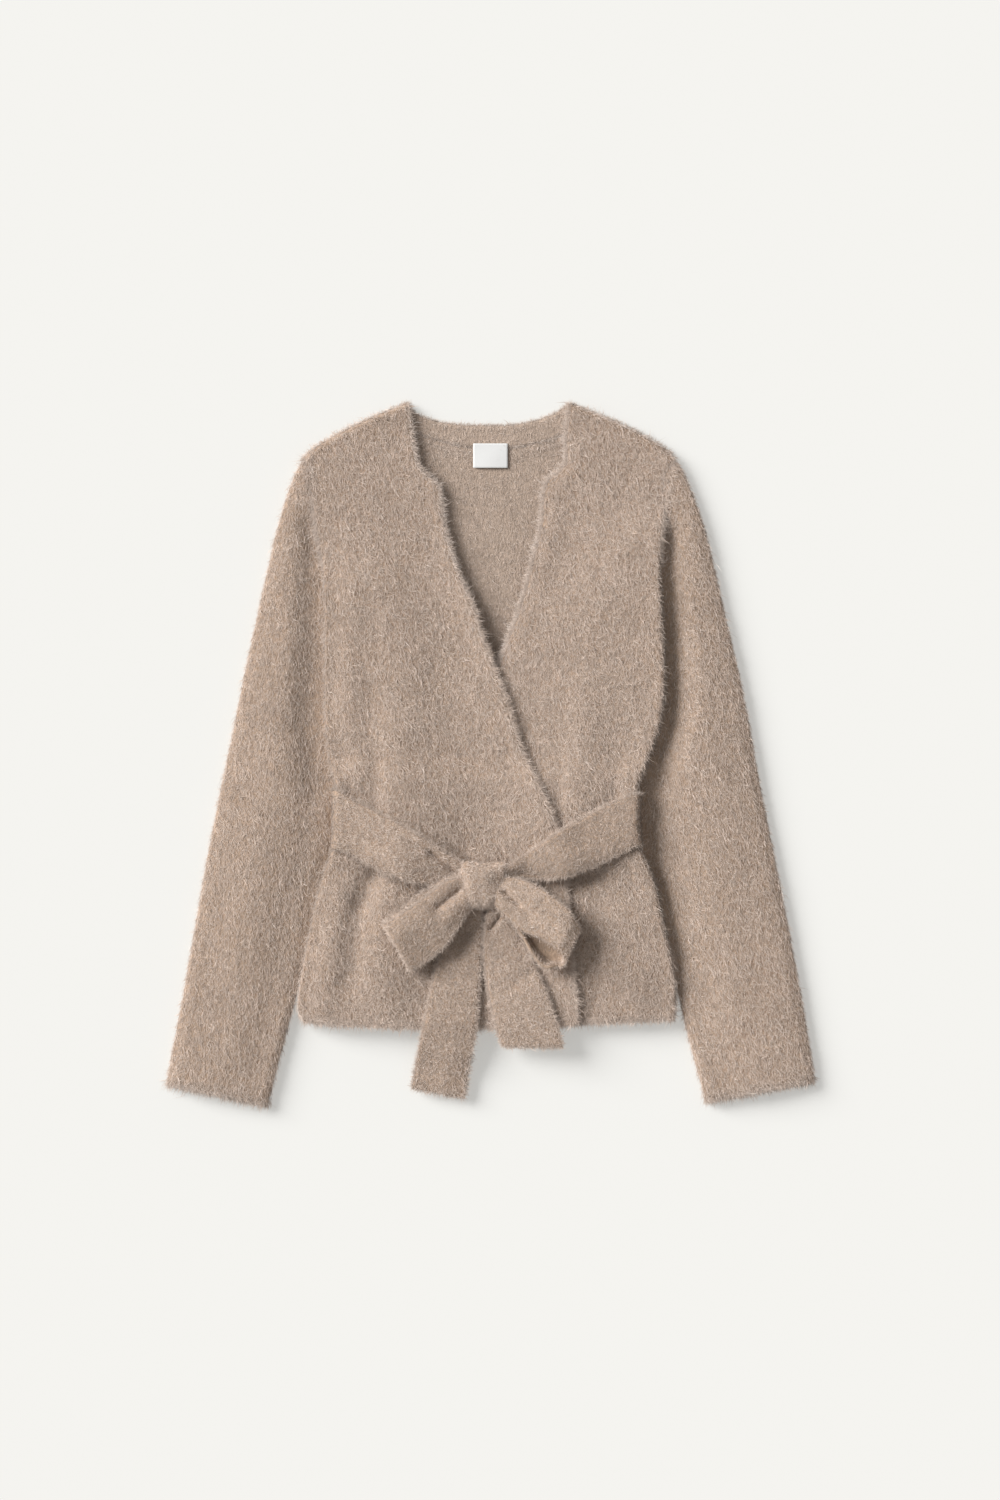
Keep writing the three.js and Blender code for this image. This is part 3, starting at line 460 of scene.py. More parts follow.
def make_mesh(name, points, faces, smooth=True):
    """A mesh object from points in millimetres and faces that all have the same number of corners."""
    mesh = bpy.data.meshes.new(name)
    mesh.vertices.add(len(points))
    mesh.vertices.foreach_set("co", (points * MM).astype(np.float32).ravel())
    mesh.loops.add(faces.size)
    mesh.loops.foreach_set("vertex_index", faces.astype(np.int32).ravel())
    mesh.polygons.add(len(faces))
    mesh.polygons.foreach_set("loop_start", np.arange(len(faces), dtype=np.int32) * faces.shape[1])
    mesh.update(calc_edges=True)
    piece = bpy.data.objects.new(name, mesh)
    bpy.context.scene.collection.objects.link(piece)
    if smooth:
        mesh.shade_smooth()
    return piece


def face_outwards(piece):
    bm = bmesh.new()
    bm.from_mesh(piece.data)
    bmesh.ops.recalc_face_normals(bm, faces=bm.faces)
    bm.to_mesh(piece.data)
    bm.free()
    piece.data.shade_smooth()


def cell_faces(count, columns, tube):
    """The quads of a grid of points, closed round its columns where it is a tube."""
    i, j = np.meshgrid(np.arange(count - 1), np.arange(columns if tube else columns - 1), indexing="ij")
    a, b = i * columns + j, i * columns + (j + 1) % columns
    return np.stack([a, b, b + columns, a + columns], -1).reshape(-1, 4)


RIM_MARK = 0.6


def wall(name, grid, thickness, tube=False, up=None, rim=1.0):
    """A closed cloth wall round a grid of points on its middle surface, with rounded rims.

    up is a cell of the grid whose normal should point up. Also gives each point's comb, the way
    that its pile lies, and its border mark: 1 at a rim, RIM_MARK beside it and 0 elsewhere.
    """
    count, columns = grid.shape[:2]
    longer = np.concatenate([grid[:1], grid, grid[-1:]])
    down = longer[2:] - longer[:-2]
    if tube:
        across = np.roll(grid, -1, 1) - np.roll(grid, 1, 1)
    else:
        wider = np.concatenate([grid[:, :1], grid, grid[:, -1:]], 1)
        across = wider[:, 2:] - wider[:, :-2]
    normal = unit(np.cross(down, across))
    i, j = up or (count // 2, columns // 2)
    if normal[i, j, 2] < 0:
        normal = -normal
    number = np.arange(count * columns).reshape(count, columns)
    if tube:
        loops = [number[0], number[-1]]
        inner = [number[1], number[-2]]
    else:
        ring = np.concatenate([number[0], number[1:, -1], number[-1, -2::-1], number[-2:0:-1, 0]])
        near = number[1:-1, 1:-1]
        i, j = np.divmod(ring, columns)
        loops = [ring]
        inner = [near[np.clip(i - 1, 0, count - 3), np.clip(j - 1, 0, columns - 3)]]
    flat, sides = grid.reshape(-1, 3), normal.reshape(-1, 3)
    points = [flat + sides * thickness / 2, flat - sides * thickness / 2]
    cells = cell_faces(count, columns, tube)
    faces = [cells, cells + len(flat)]
    combs = [down.reshape(-1, 3).copy() for _ in range(2)]
    border = [np.zeros(len(flat)), np.zeros(len(flat))]
    start = 2 * len(flat)
    for ring, near in zip(loops, inner):
        out = flat[ring] - flat[near]
        out = unit(out - sides[ring] * (out * sides[ring]).sum(-1, keepdims=True))
        points.append(flat[ring] + out * rim)
        combs.append(out)
        border.append(np.ones(len(ring)))
        for layer, mark in zip(combs[:2], border[:2]):
            layer[ring] = unit(layer[ring]) * RIM_MARK + out
            mark[ring] = RIM_MARK
        edge = start + np.arange(len(ring))
        start += len(ring)
        for side in (ring, ring + len(flat)):
            faces.append(np.stack([side, np.roll(side, -1), np.roll(edge, -1), edge], -1))
    piece = make_mesh(name, np.concatenate(points), np.concatenate(faces))
    face_outwards(piece)
    return piece, unit(np.concatenate(combs)), np.concatenate(border)


QUARTER = [0, 22, 45, 68, 90]  # the steps of a quarter turn, in degrees


def turned(drop, share):
    """How a turned edge runs: the distances in from the outline, and the drops from the flat."""
    radius = np.minimum(CURL, drop - CURL_LEAST_DROP)
    angles = np.radians(QUARTER)
    inward = [KNIT / 2 * share] + [
        mix(2 + k, KNIT / 2 + radius * (1 - np.cos(a)), share) for k, a in enumerate(angles)
    ]
    down = [drop * share] + [radius * (1 - np.sin(a)) * share for a in angles]
    return np.stack(inward, -1), np.stack(down, -1)


def front(side, table, height, count=84, columns=50):
    """A front's grid: sections from the side to the edge, turned down at the side and the shoulder."""
    sign = -1 if side == "right" else 1
    sections = spaced(table, count)
    slope_in, slope_down = turned(np.array(KNIT / 2 + AIR - EDGE_GAP), 1.0)
    at = {name: np.concatenate([np.full(len(slope_in), v[0]), v[1:]]) for name, v in sections.items()}
    for name in ("side", "y"):
        at[name][: len(slope_in)] -= slope_in * SHOULDER_TURN
    order = np.argsort(-at["side"], kind="stable")
    at = {name: v[order] for name, v in at.items()}
    shoulder = np.concatenate([slope_down, np.zeros(count)])[order][:, None]
    y0 = at["side"][:, None]
    start = sign * (flank(side, y0) + SHOULDER_WIDER * ease(*SHOULDER_WIDENS, y0))
    reach = np.hypot(at["x"][:, None] - start, at["y"][:, None] - y0)
    hem = HEM_DIP * ease(*HEM_DIPS, y0)
    bow = SHOULDER_BOW * ease(*SHOULDER_BOWS, y0)

    def point(u):
        dip = (hem - bow) * 4 * u * (1 - u)
        tip = SHOULDER_TIP * ease(0.16, 0, u) * ease(*SHOULDER_TIPS, y0)
        x = mix(start, at["x"][:, None], u)
        scallop = SCALLOP["high"] * np.sin(x * SCALLOP["pitch"]) * ease(*HEM_SCALLOPS, y0)
        return x, mix(y0, at["y"][:, None], u) - dip - tip + scallop

    x, y = point(np.zeros((1, 1)))
    drop = height(x, y)[:, 0] - back_z(x, y)[:, 0] - KNIT / 2 - EDGE_GAP
    inward, down = turned(drop, ease(*SIDE_TURNS, at["side"]))
    u = inward / reach
    rest = mix(u[:, -1:], 1, np.linspace(0, 1, columns + 1)[None, 1:])
    x, y = point(np.concatenate([u, rest], 1))
    down = np.concatenate([down, np.zeros(rest.shape)], 1)
    return stack(x, y, height(x, y) - np.maximum(down, shoulder))


def back_grid(count=64, shoulder=13):
    seam = spaced(NECK, 30)
    seam = np.stack([seam["seamX"], seam["seamY"] - SEAM], -1)

    def edge(side, y):
        return flank(side, y) - SIDE_IN * ease(*BACK_NARROWS, y)

    right = np.array([-edge("right", SHOULDER_Y), SHOULDER_Y])
    left = np.array([edge("left", SHOULDER_Y), SHOULDER_Y])
    line = np.linspace(0, 1, shoulder)[:, None]
    arch = np.stack([np.zeros(shoulder), SHOULDER_BOW * 4 * line[:, 0] * (1 - line[:, 0])], -1)
    right_shoulder = mix(right, seam[0], line) + arch
    left_shoulder = mix(seam[-1], left, line) + arch
    top = np.concatenate([right_shoulder[:-1], seam, left_shoulder[1:]])
    v = np.linspace(0, 1, count + 1)[:, None]
    u = np.linspace(0, 1, len(top))[None]
    y = mix(top[None, :, 1], BACK_HEM_Y - HEM_DIP * 4 * u * (1 - u), v)
    side_y = mix(SHOULDER_Y, BACK_HEM_Y, v)
    even = mix(-edge("right", side_y), edge("left", side_y), u)
    x = even + (top[None, :, 0] - mix(right[0], left[0], u)) * (1 - v) ** 2
    return stack(x, y, back_z(x, y))


def neck_band_grid():
    line = spaced(NECK, 60)
    t = np.linspace(0, 1.03, 9)[None]
    x = mix(line["x"][:, None], line["seamX"][:, None], t)
    y = mix(line["y"][:, None], line["seamY"][:, None], t)
    return stack(x, y, back_z(x, y) + BAND_LAY + 0.2 * ease(0.8, 1, t))


def sleeve_grid(side, table, count=84):
    """A sleeve's grid: sections of a flattened tube, turning from the line of the armhole to the cuff."""
    sign = -1 if side == "right" else 1
    at = {name: v[:, None] for name, v in spaced(table, count).items()}
    first = (table["x"][0], table["y"][0])
    under_x = sign * sleeve_edge(side, np.array(UNDERARM_Y))
    inner = sign * sleeve_edge(side, at["inner"])
    wide = np.hypot(inner - at["x"], at["inner"] - at["y"])

    def plan(s):
        arm_y = mix(first[1], UNDERARM_Y, s)
        bow = sign * sleeve_edge(side, arm_y) - mix(first[0], under_x, s)
        return mix(at["x"], inner, s) + at["bow"] * bow, mix(at["y"], at["inner"], s)

    def beyond_body(x, y):
        return np.abs(x) - flank(side, np.clip(y, BODY_LOW_Y, SHOULDER_Y))

    def air_at(x, y):
        ends = np.maximum(ease(*SHOULDER_FREE, y), ease(*CUFF_FREE, y))
        free = np.maximum(ease(-2, 20, beyond_body(x, y)), ends)
        soft = mix(SLEEVE_AIR_PRESSED, SLEEVE_AIR, free)
        return np.maximum(SLEEVE_AIR_PRESSED, soft - folds(SLEEVE_TROUGHS, x, y, np.maximum))

    low = KNIT / 2

    def arc(end, degrees):
        s0 = np.full(wide.shape, float(end))
        radius = (KNIT + np.minimum(air_at(*plan(s0)), 2)) / 2
        a = np.radians(np.array(degrees, float))[None]
        step = (KNIT / 2 + radius * (1 - np.cos(a))) / wide
        x, y = plan(np.clip(s0 + (step if end == 0 else -step), 0, 1))
        return stack(x, y, low + radius * (1 + np.sin(a)))

    s = np.linspace(0.085, 0.925, 28)[None] * np.ones(wide.shape)
    x, y = plan(s)
    v = np.linspace(0, 1, count + 1)[:, None]
    crown = SLEEVE_CROWN * np.sin(np.pi * np.clip(s * 1.15, 0, 1)) ** 1.5
    crown = crown * ease(0, 0.12, v) * (1 - 0.4 * ease(0.6, 1, v))
    crown = crown * np.maximum(ease(6, 42, beyond_body(x, y)), ease(*CUFF_FREE, y))
    sunk = folds(SLEEVE_TROUGHS, x, y, np.maximum) * SLEEVE_TROUGH_SHARE
    over = stack(x, y, low + KNIT + air_at(x, y) + crown - sunk)
    s = np.linspace(0.9, 0.1, 7)[None] * np.ones(wide.shape)
    x, y = plan(s)
    under = stack(x, y, low)
    below = [-a for a in QUARTER]
    outer, inner_edge, back_up = arc(0, QUARTER), arc(1, QUARTER[::-1] + below[1:]), arc(0, below[:0:-1])
    return np.concatenate([outer, over, inner_edge, under, back_up], 1)


def bridged(z, reach=9):
    """Heights smoothed along a strip, which bridges the folds that it lies on."""
    weight = np.exp(-np.linspace(-2, 2, 2 * reach + 1) ** 2)
    longer = np.concatenate([np.repeat(z[:1], reach, 0), z, np.repeat(z[-1:], reach, 0)])
    return sum(w * longer[k : k + len(z)] for k, w in enumerate(weight)) / weight.sum()


def strip(table, count, heights, creases, columns=17):
    """A stretch of the belt, from its table's sections."""
    at = {name: v[:, None] for name, v in spaced(table, count, "x0", "y0").items()}
    inset = BELT_INSET / np.hypot(at["x1"] - at["x0"], at["y1"] - at["y0"])
    t = mix(inset, 1 - inset, np.linspace(0, 1, columns)[None])
    x = mix(at["x0"], at["x1"], t)
    y = mix(at["y0"], at["y1"], t)
    lift = at["up"] + at.get("edge", 0) * ease(0.1, 1, t) + BELT_BOW * np.sin(np.pi * t)
    return stack(x, y, bridged(heights(x, y)) + BELT_LAY + KNIT / 2 + lift + folds(creases, x, y))


def tail_bed(x, y):
    """What the tails lie on; below the hem they keep the height that they have there."""
    return top_z(x, np.maximum(y, BED_LOW_Y))


def belt_front(table):
    """A front stretch of the belt, with its turn round the body's side."""
    grid = strip(table, 60, top_z, BELT_CREASES)
    edge = grid[0]
    side = "right" if edge[0, 0] < 0 else "left"
    x, y, z = edge[:, 0], edge[:, 1], edge[:, 2]
    low = back_z(x, y) - KNIT - LAY
    radius = (z - low) / 2
    body = flank(side, np.maximum(y, BELT_LOW_Y))
    turns = []
    for angle in np.radians(np.arange(180, 0, -12)):
        reach = body - BELT_IN + (BELT_ROUND + BELT_LAY + KNIT / 2) * np.sin(angle)
        turns.append(stack(np.sign(x) * reach, y, low + radius * (1 + np.cos(angle))))
    return np.concatenate([np.stack(turns), grid])


def belt_back_grid():
    x = np.linspace(-flank("right", BELT_Y) + BELT_IN, flank("left", BELT_Y) - BELT_IN, 81)[:, None]
    y = BELT_Y + np.linspace(-0.5, 0.5, 13)[None] * BELT_WIDTH
    return stack(x, y, np.maximum(KNIT / 2, back_z(x, y) - KNIT - LAY))


def loop_grid(table, columns=25):
    """A loop of the bow: its upper layer, the fold at its end, and its lower layer back to the knot."""
    at = {name: v[:, None] for name, v in spaced(table, 34, "x0", "y0").items()}
    t = np.linspace(0, 1, columns)[None]

    def layer(first, second, lift):
        x = mix(at["x" + first], at["x" + second], t)
        y = mix(at["y" + first], at["y" + second], t)
        return stack(x, y, top_z(x, y) + BELT_LAY + KNIT / 2 + lift)

    upper = layer("0", "1", at["up"] + LOOP_BOW * np.sin(np.pi * t))
    upper[..., 2] += folds(LOOP_CREASES, upper[..., 0], upper[..., 1])
    lower = layer("2", "3", at["back"] + at["curl"] * ease(0.87, 1, t))
    a, b = upper[-1], lower[-1]
    out = a - upper[-2]
    out[:, 2] = 0
    out = unit(out)
    bulge = np.minimum(LOOP_BULGE, np.linalg.norm(a - b, axis=-1, keepdims=True) / 2)
    fold = [
        mix(a, b, (1 - np.cos(np.pi * share)) / 2) + out * np.sin(np.pi * share) * bulge
        for share in np.linspace(0, 1, 11)[1:-1]
    ]
    return np.concatenate([upper, np.stack(fold), lower[::-1]])


def knot_mesh(count=36, around=56):
    """The knot: a lumpy, squarish tube with closed ends. Gives its points and its faces."""
    v = np.linspace(0, 1, count + 1)[:, None]
    a = np.linspace(0, 2 * np.pi, around, endpoint=False)[None]
    fall = np.sqrt(np.maximum(0, 1 - np.abs(2 * v - 1) ** 3))
    y = mix(KNOT["top"], KNOT["bottom"], v)
    half_wide = mix(KNOT["wide_top"], KNOT["wide_bottom"], ease(0.2, 0.95, v)) * mix(0.8, 1, fall)

    def square(c):
        return np.sign(c) * np.abs(c) ** KNOT["squareness"]

    half = (KNOT["high"] - KNOT["low"]) / 2 * mix(0.3, 1, fall)
    half = half * (1 + 0.02 * np.sin(9 * a + 3 * v) + 0.03 * np.sin(5 * a - 4 * v))
    centre = mix(KNOT["x0"], KNOT["x1"], v)
    middle = top_z(centre, y) + BELT_LAY + (KNOT["high"] + KNOT["low"]) / 2 - (1 - fall) * 2
    y = y + KNOT["pull"] * (1 - v) * np.cos(2 * a) * (np.sin(a) > 0) - KNOT["down"]
    points = stack(centre + half_wide * square(np.cos(a)), y, middle + half * square(np.sin(a)))
    flat = points.reshape(-1, 3)
    ends = np.stack([points[0].mean(0), points[-1].mean(0)])
    pairs = np.arange(0, around, 2)
    beyond = (pairs + 2) % around
    top = np.full(len(pairs), len(flat))
    last = count * around
    faces = [
        cell_faces(count + 1, around, True),
        np.stack([top, pairs, pairs + 1, beyond], -1),
        np.stack([top + 1, last + beyond, last + pairs + 1, last + pairs], -1),
    ]
    return np.concatenate([flat, ends]), np.concatenate(faces)


# Pile. Angles are in degrees, and a spread is a standard deviation.
HAIR_WIDTH = 0.38
STRAY = 0.045  # the share of hairs that stand away from the others
STRAY_LONGER, STRAY_THINNER, STRAY_LIGHTER = 1.2, 0.85, 1.1
STRAY_RISE = (12, 6)
RISE_SPREAD, LEAST_RISE, MOST_RISE = 7, 3, 75
LENGTH_SPREAD = 0.3
WIDTH_SPREAD = 0.25
DRIFT = 8
BEND_SPREAD = 34
DROOP, DROOP_SPREAD = 2, 8
RIM_UP = 2.5
FACE_UP = 7
ROOT_DEPTH = 0.3
FLOOR_CLEAR = 0.15
TONE_SPREAD = 0.12
# Tufts and wisps darken towards the root: painted shade deep in the pile.
TUFT_TONES = (0.78, 0.99, 0.99, 1.1)  # from the root to the tip
WISP_TONES = (0.81, 0.81, 1.09)
# How much the painted shade darkens the hairs at the body's sides.
SIDE_SHADE_PAINT = 0.34
# The painted sheen at the outline: how much paler red, green and blue get there.
PAINTED_SHEEN = (0.0, 0.07, 0.14)


def hairs(name, body, combs, border, tufts, wisps, length, weight, spread=42, lift=14, fringe=4):
    """The pile on a piece, combed along it: bent tufts and straight wisps, all rooted on its faces.

    weight says how much of the pile a place gets, and fringe how much more a rim gets.
    """
    mesh = body.data
    points, normals = np.empty((2, len(mesh.vertices) * 3))
    mesh.vertices.foreach_get("co", points)
    mesh.vertices.foreach_get("normal", normals)
    points, normals = points.reshape(-1, 3) / MM, normals.reshape(-1, 3)
    quads = np.empty(len(mesh.polygons) * 4, np.int32)
    mesh.polygons.foreach_get("vertices", quads)
    quads = quads.reshape(-1, 4)
    p = points[quads]
    area = np.linalg.norm(np.cross(p[:, 2] - p[:, 0], p[:, 3] - p[:, 1]), axis=1) / 2
    share = area * weight(p.mean(1), unit(normals[quads].mean(1))) * (1 + fringe * border[quads].mean(1))
    count = tufts + wisps
    pick = quads[rng.choice(len(quads), count, p=share / share.sum())]
    s, t = rng.random((2, count, 1))
    corners = [(1 - s) * (1 - t), s * (1 - t), s * t, (1 - s) * t]
    root = sum(w * points[pick[:, k]] for k, w in enumerate(corners))
    normal = unit(sum(w * normals[pick[:, k]] for k, w in enumerate(corners)))
    comb = sum(w * combs[pick[:, k]] for k, w in enumerate(corners))
    # At a rim the hairs point outwards and lie level.
    edge = sum(w * border[pick[:, k], None] for k, w in enumerate(corners))
    normal = unit(normal + edge * np.array([0, 0, RIM_UP]))
    comb = unit(comb - normal * (comb * normal).sum(-1, keepdims=True))
    side = np.cross(normal, comb)
    # The comb turns slowly from place to place.
    drift = np.sin(root[:, 0] * 0.11 + 1.7 * np.sin(root[:, 1] * 0.05)) * np.cos(root[:, 1] * 0.083)
    drift += 0.6 * np.sin(root[:, 0] * 0.31 + root[:, 1] * 0.23)
    turn = np.radians(rng.normal(0, spread, count) + DRIFT * drift)[:, None]
    wild = (rng.random(count) < STRAY)[:, None]
    long = length * np.exp(rng.normal(0, LENGTH_SPREAD, (count, 1))) * np.where(wild, STRAY_LONGER, 1)
    rise = np.clip(rng.normal(lift, RISE_SPREAD, (count, 1)), LEAST_RISE, MOST_RISE)
    rise = np.radians(rise + np.where(wild, STRAY_RISE[0], 0))
    along = comb * np.cos(turn) + side * np.sin(turn)
    first = along * np.cos(rise) + normal * np.sin(rise)
    turn = turn + np.radians(rng.normal(0, BEND_SPREAD, (count, 1)))
    along = comb * np.cos(turn) + side * np.sin(turn)
    rise = rise * 0.2 - np.radians(rng.normal(DROOP, DROOP_SPREAD, (count, 1)))
    rise = rise + np.radians(np.where(wild, STRAY_RISE[1], 0))
    second = along * np.cos(rise) + normal * np.sin(rise)
    # A hair shows its flat side upwards, at a rim too.
    face = normal + FACE_UP * ease(-0.3, 0.2, normal[:, 2:]) * np.array([0, 0, 1])
    across = unit(np.cross(first, face)) * HAIR_WIDTH / 2 * np.where(wild, STRAY_THINNER, 1)
    across *= np.exp(rng.normal(0, WIDTH_SPREAD, (count, 1)))
    root = root - normal * ROOT_DEPTH
    middle = root + first * long * 0.5
    tip = middle + second * long * 0.5
    bent = np.stack([root, middle - across, middle + across, tip], 1)[:tufts].reshape(-1, 3)
    straight = np.stack([root - across, root + across, root + first * long * 0.8], 1)[tufts:].reshape(-1, 3)
    hair = np.concatenate([bent, straight])
    hair[:, 2] = np.maximum(hair[:, 2], FLOOR_CLEAR)
    a, b = np.arange(tufts)[:, None] * 4, tufts * 4 + np.arange(wisps)[:, None] * 3
    piece = make_mesh(name, hair, np.concatenate([a + [0, 2, 1], a + [1, 2, 3], b + [0, 1, 2]]), smooth=False)
    tone = np.clip(rng.normal(1, TONE_SPREAD, count), 0.6, 1.5) * np.where(wild[:, 0], STRAY_LIGHTER, 1)

    def per_point(values):
        return np.concatenate([np.repeat(values[:tufts], 4), np.repeat(values[tufts:], 3)])

    shade = per_point(tone) * np.concatenate([np.tile(TUFT_TONES, tufts), np.tile(WISP_TONES, wisps)])
    side_shade = per_point(painted_side_shade(root, normal, edge[:, 0]))[:, None]
    pale = per_point(painted_outline_sheen(root, normal, edge[:, 0]))[:, None]
    # Lighter hairs are also greyer, and darker ones browner.
    colour = np.stack([shade, shade**1.22, shade**1.42, np.ones(len(shade))], -1)
    # Painted shade darkens the hairs at the body's sides, and painted sheen makes the hairs at the outline
    # paler and greyer.
    colour[:, :3] *= (1 - SIDE_SHADE_PAINT * side_shade) * (1 + pale * np.array(PAINTED_SHEEN))
    layer = piece.data.color_attributes.new("tone", "FLOAT_COLOR", "POINT")
    layer.data.foreach_set("color", colour.astype(np.float32).ravel())
    return piece


def painted_side_shade(root, normal, edge):
    """1 for the hairs at the body's sides, whose rims lie above the sleeves; they are darkened there as
    painted shade.
    """
    x, y, z = root.T
    beside = ease(10, 3, np.abs(np.abs(x) - by_side(flank, x, y)))
    along = ease(252, 205, y) * ease(-215, -170, y)
    return beside * along * ease(8, 14, z) * np.clip(edge + ease(0.95, 0.6, np.abs(normal[:, 2])), 0, 1)


def painted_outline_sheen(root, normal, edge):
    """1 for the hairs at the garment's outline, which get painted sheen: they are made paler and greyer."""
    return np.maximum(ease(0.6, 0.1, np.abs(normal[:, 2])), 0.5 * edge) * ease(18, 12, root[:, 2])


# Materials
def nodes_of(name):
    """A new material with its node tree and its shader."""
    material = bpy.data.materials.new(name)
    material.use_nodes = True
    tree = material.node_tree
    return material, tree, tree.nodes["Principled BSDF"]


def set_inputs(node, **values):
    """Sets a node's inputs by name, with _ for a space."""
    for name, value in values.items():
        node.inputs[name.replace("_", " ")].default_value = value


def noise(tree, scale, detail, roughness, stretch=None):
    place = tree.nodes.new("ShaderNodeTexCoord").outputs["Object"]
    if stretch:
        mapping = tree.nodes.new("ShaderNodeMapping")
        set_inputs(mapping, Scale=stretch)
        tree.links.new(place, mapping.inputs["Vector"])
        place = mapping.outputs["Vector"]
    node = tree.nodes.new("ShaderNodeTexNoise")
    set_inputs(node, Scale=scale, Detail=detail, Roughness=roughness)
    tree.links.new(place, node.inputs["Vector"])
    return node.outputs["Fac"]


def ramp(tree, value, *stops):
    node = tree.nodes.new("ShaderNodeValToRGB")
    elements = node.color_ramp.elements
    while len(elements) < len(stops):
        elements.new(0.5)
    for element, (position, colour) in zip(elements, stops):
        element.position = position
        element.color = (*colour, 1)
    tree.links.new(value, node.inputs["Fac"])
    return node.outputs["Color"]


def multiply(tree, a, b):
    node = tree.nodes.new("ShaderNodeMix")
    node.data_type = "RGBA"
    node.blend_type = "MULTIPLY"
    node.inputs[0].default_value = 1
    tree.links.new(a, node.inputs[6])
    tree.links.new(b, node.inputs[7])
    return node.outputs[2]


def bump(tree, shader, height, strength, distance):
    node = tree.nodes.new("ShaderNodeBump")
    set_inputs(node, Strength=strength, Distance=distance)
    tree.links.new(height, node.inputs["Height"])
    tree.links.new(node.outputs["Normal"], shader.inputs["Normal"])


def tint(colour, factor):
    return tuple(c * factor for c in colour)


YARN = (0.616, 0.501, 0.418)  # the yarn's own colour, linear
DEPTH_SHADE = (0.415, 0.298, 0.216)  # the yarn's colour made darker and browner: painted shade between the loops of the knit and deep in the pile
# How many clouds, tufts and strands go to a metre, about, and how strands are stretched.
CLOUD_SCALE, TUFT_SCALE, STRAND_SCALE, STRAND_STRETCH = 42, 190, 1100, (1, 0.35, 1)
STITCH_SCALE, STITCH_STRETCH = 620, (1, 0.45, 1)
THREAD_SCALE = 620


def mottle(tree, colour):
    """The yarn's colour, cloudy at the size of tufts and again at the size of single strands."""
    tufts = noise(tree, TUFT_SCALE, 3, 0.6)
    tufts = ramp(tree, tufts, (0.3, tint(colour, 0.86)), (0.52, colour), (0.72, tint(colour, 1.12)))
    clouds = noise(tree, CLOUD_SCALE, 2, 0.5)
    clouds = ramp(tree, clouds, (0.3, (0.945, 0.94, 0.935)), (0.7, (1.04, 1.04, 1.04)))
    strands = noise(tree, STRAND_SCALE, 2, 0.6, STRAND_STRETCH)
    strands = ramp(tree, strands, (0.3, (0.84, 0.83, 0.82)), (0.65, (1.1, 1.1, 1.11)))
    return multiply(tree, multiply(tree, tufts, clouds), strands)


def knit_material(name, colour):
    material, tree, shader = nodes_of(name)
    tree.links.new(mottle(tree, colour), shader.inputs["Base Color"])
    set_inputs(shader, Roughness=1.0, Specular_IOR_Level=0.1, Sheen_Weight=0.15, Sheen_Roughness=0.6)
    bump(tree, shader, noise(tree, STITCH_SCALE, 4, 0.6, STITCH_STRETCH), strength=0.9, distance=0.0016)
    return material


def pile_material(name, colour):
    material, tree, shader = nodes_of(name)
    tone = tree.nodes.new("ShaderNodeVertexColor")
    tone.layer_name = "tone"
    tree.links.new(multiply(tree, mottle(tree, colour), tone.outputs["Color"]), shader.inputs["Base Color"])
    set_inputs(shader, Roughness=0.95, Specular_IOR_Level=0.15, Sheen_Weight=0.25, Sheen_Roughness=0.5)
    return material


# The knit shell under all the pile takes the darker colour of painted shade.
knit = knit_material("brushed_knit", DEPTH_SHADE)
pile = pile_material("brushed_pile", YARN)
# The belt's pile is a slightly darker copy of the yarn: painted shade that tones the belt down.
belt_pile = pile_material("brushed_pile_belt", tint(YARN, 0.98))
# The inside pieces get darker copies of the knit and the pile: painted shade for the inside of the garment.
inside_shade_colour = tint(mix(np.array(YARN), np.array(DEPTH_SHADE), 0.55), 0.86)
inside_knit = knit_material("brushed_knit_inside", inside_shade_colour)
inside_pile = pile_material("brushed_pile_inside", tint(YARN, 0.92))


def woven_material():
    material, tree, shader = nodes_of("woven_label")
    place = tree.nodes.new("ShaderNodeTexCoord").outputs["Object"]
    threads = []
    for direction in ("X", "Y"):
        wave = tree.nodes.new("ShaderNodeTexWave")
        wave.bands_direction = direction
        set_inputs(wave, Scale=THREAD_SCALE)
        tree.links.new(place, wave.inputs["Vector"])
        threads.append(wave.outputs["Fac"])
    weave = tree.nodes.new("ShaderNodeMath")
    weave.operation = "MULTIPLY"
    for k, thread in enumerate(threads):
        tree.links.new(thread, weave.inputs[k])
    colour = ramp(tree, weave.outputs[0], (0.0, (0.7, 0.695, 0.68)), (0.7, (0.8, 0.795, 0.78)))
    tree.links.new(colour, shader.inputs["Base Color"])
    set_inputs(shader, Roughness=0.6)
    bump(tree, shader, weave.outputs[0], strength=0.4, distance=0.0002)
    return material


# Where each piece shows, and so where its pile is thick. p is a place on it and n the normal there.
HIDDEN = 0.02
BACK_OUTSIDE = 0.06
RIM_PILE = 0.3
RIM_LOW_Y, RIM_HIGH_Y = -255, 292
NECK_LOW_Y, NECK_MARGIN = 60, 16  # the back shows from here up, between the fronts
# The sleeves' pile thins beside the body so that the darker knit shows there as painted shade.
SHADE_THINNING_RIGHT, SHADE_THINNING_LEFT = 0.45, 0.8  # how much of the pile goes where a sleeve touches the body


def outside_body(x, y, reach):
    return ease(-reach, 0, np.abs(x) - by_side(flank, x, np.clip(y, BED_LOW_Y, SHOULDER_Y)))


def facing(normal, under):
    """Full pile except where the cloth faces down."""
    return np.where(normal[:, 2] < -0.35, under, 1.0)


def weight_front(p, n):
    return facing(n, 0.03)


def weight_left_front(p, n):
    covered = ease(2, 22, right_edge_at(p[:, 1])["x"] - p[:, 0])
    return facing(n, 0.03) * mix(HIDDEN, 1, 1 - covered)


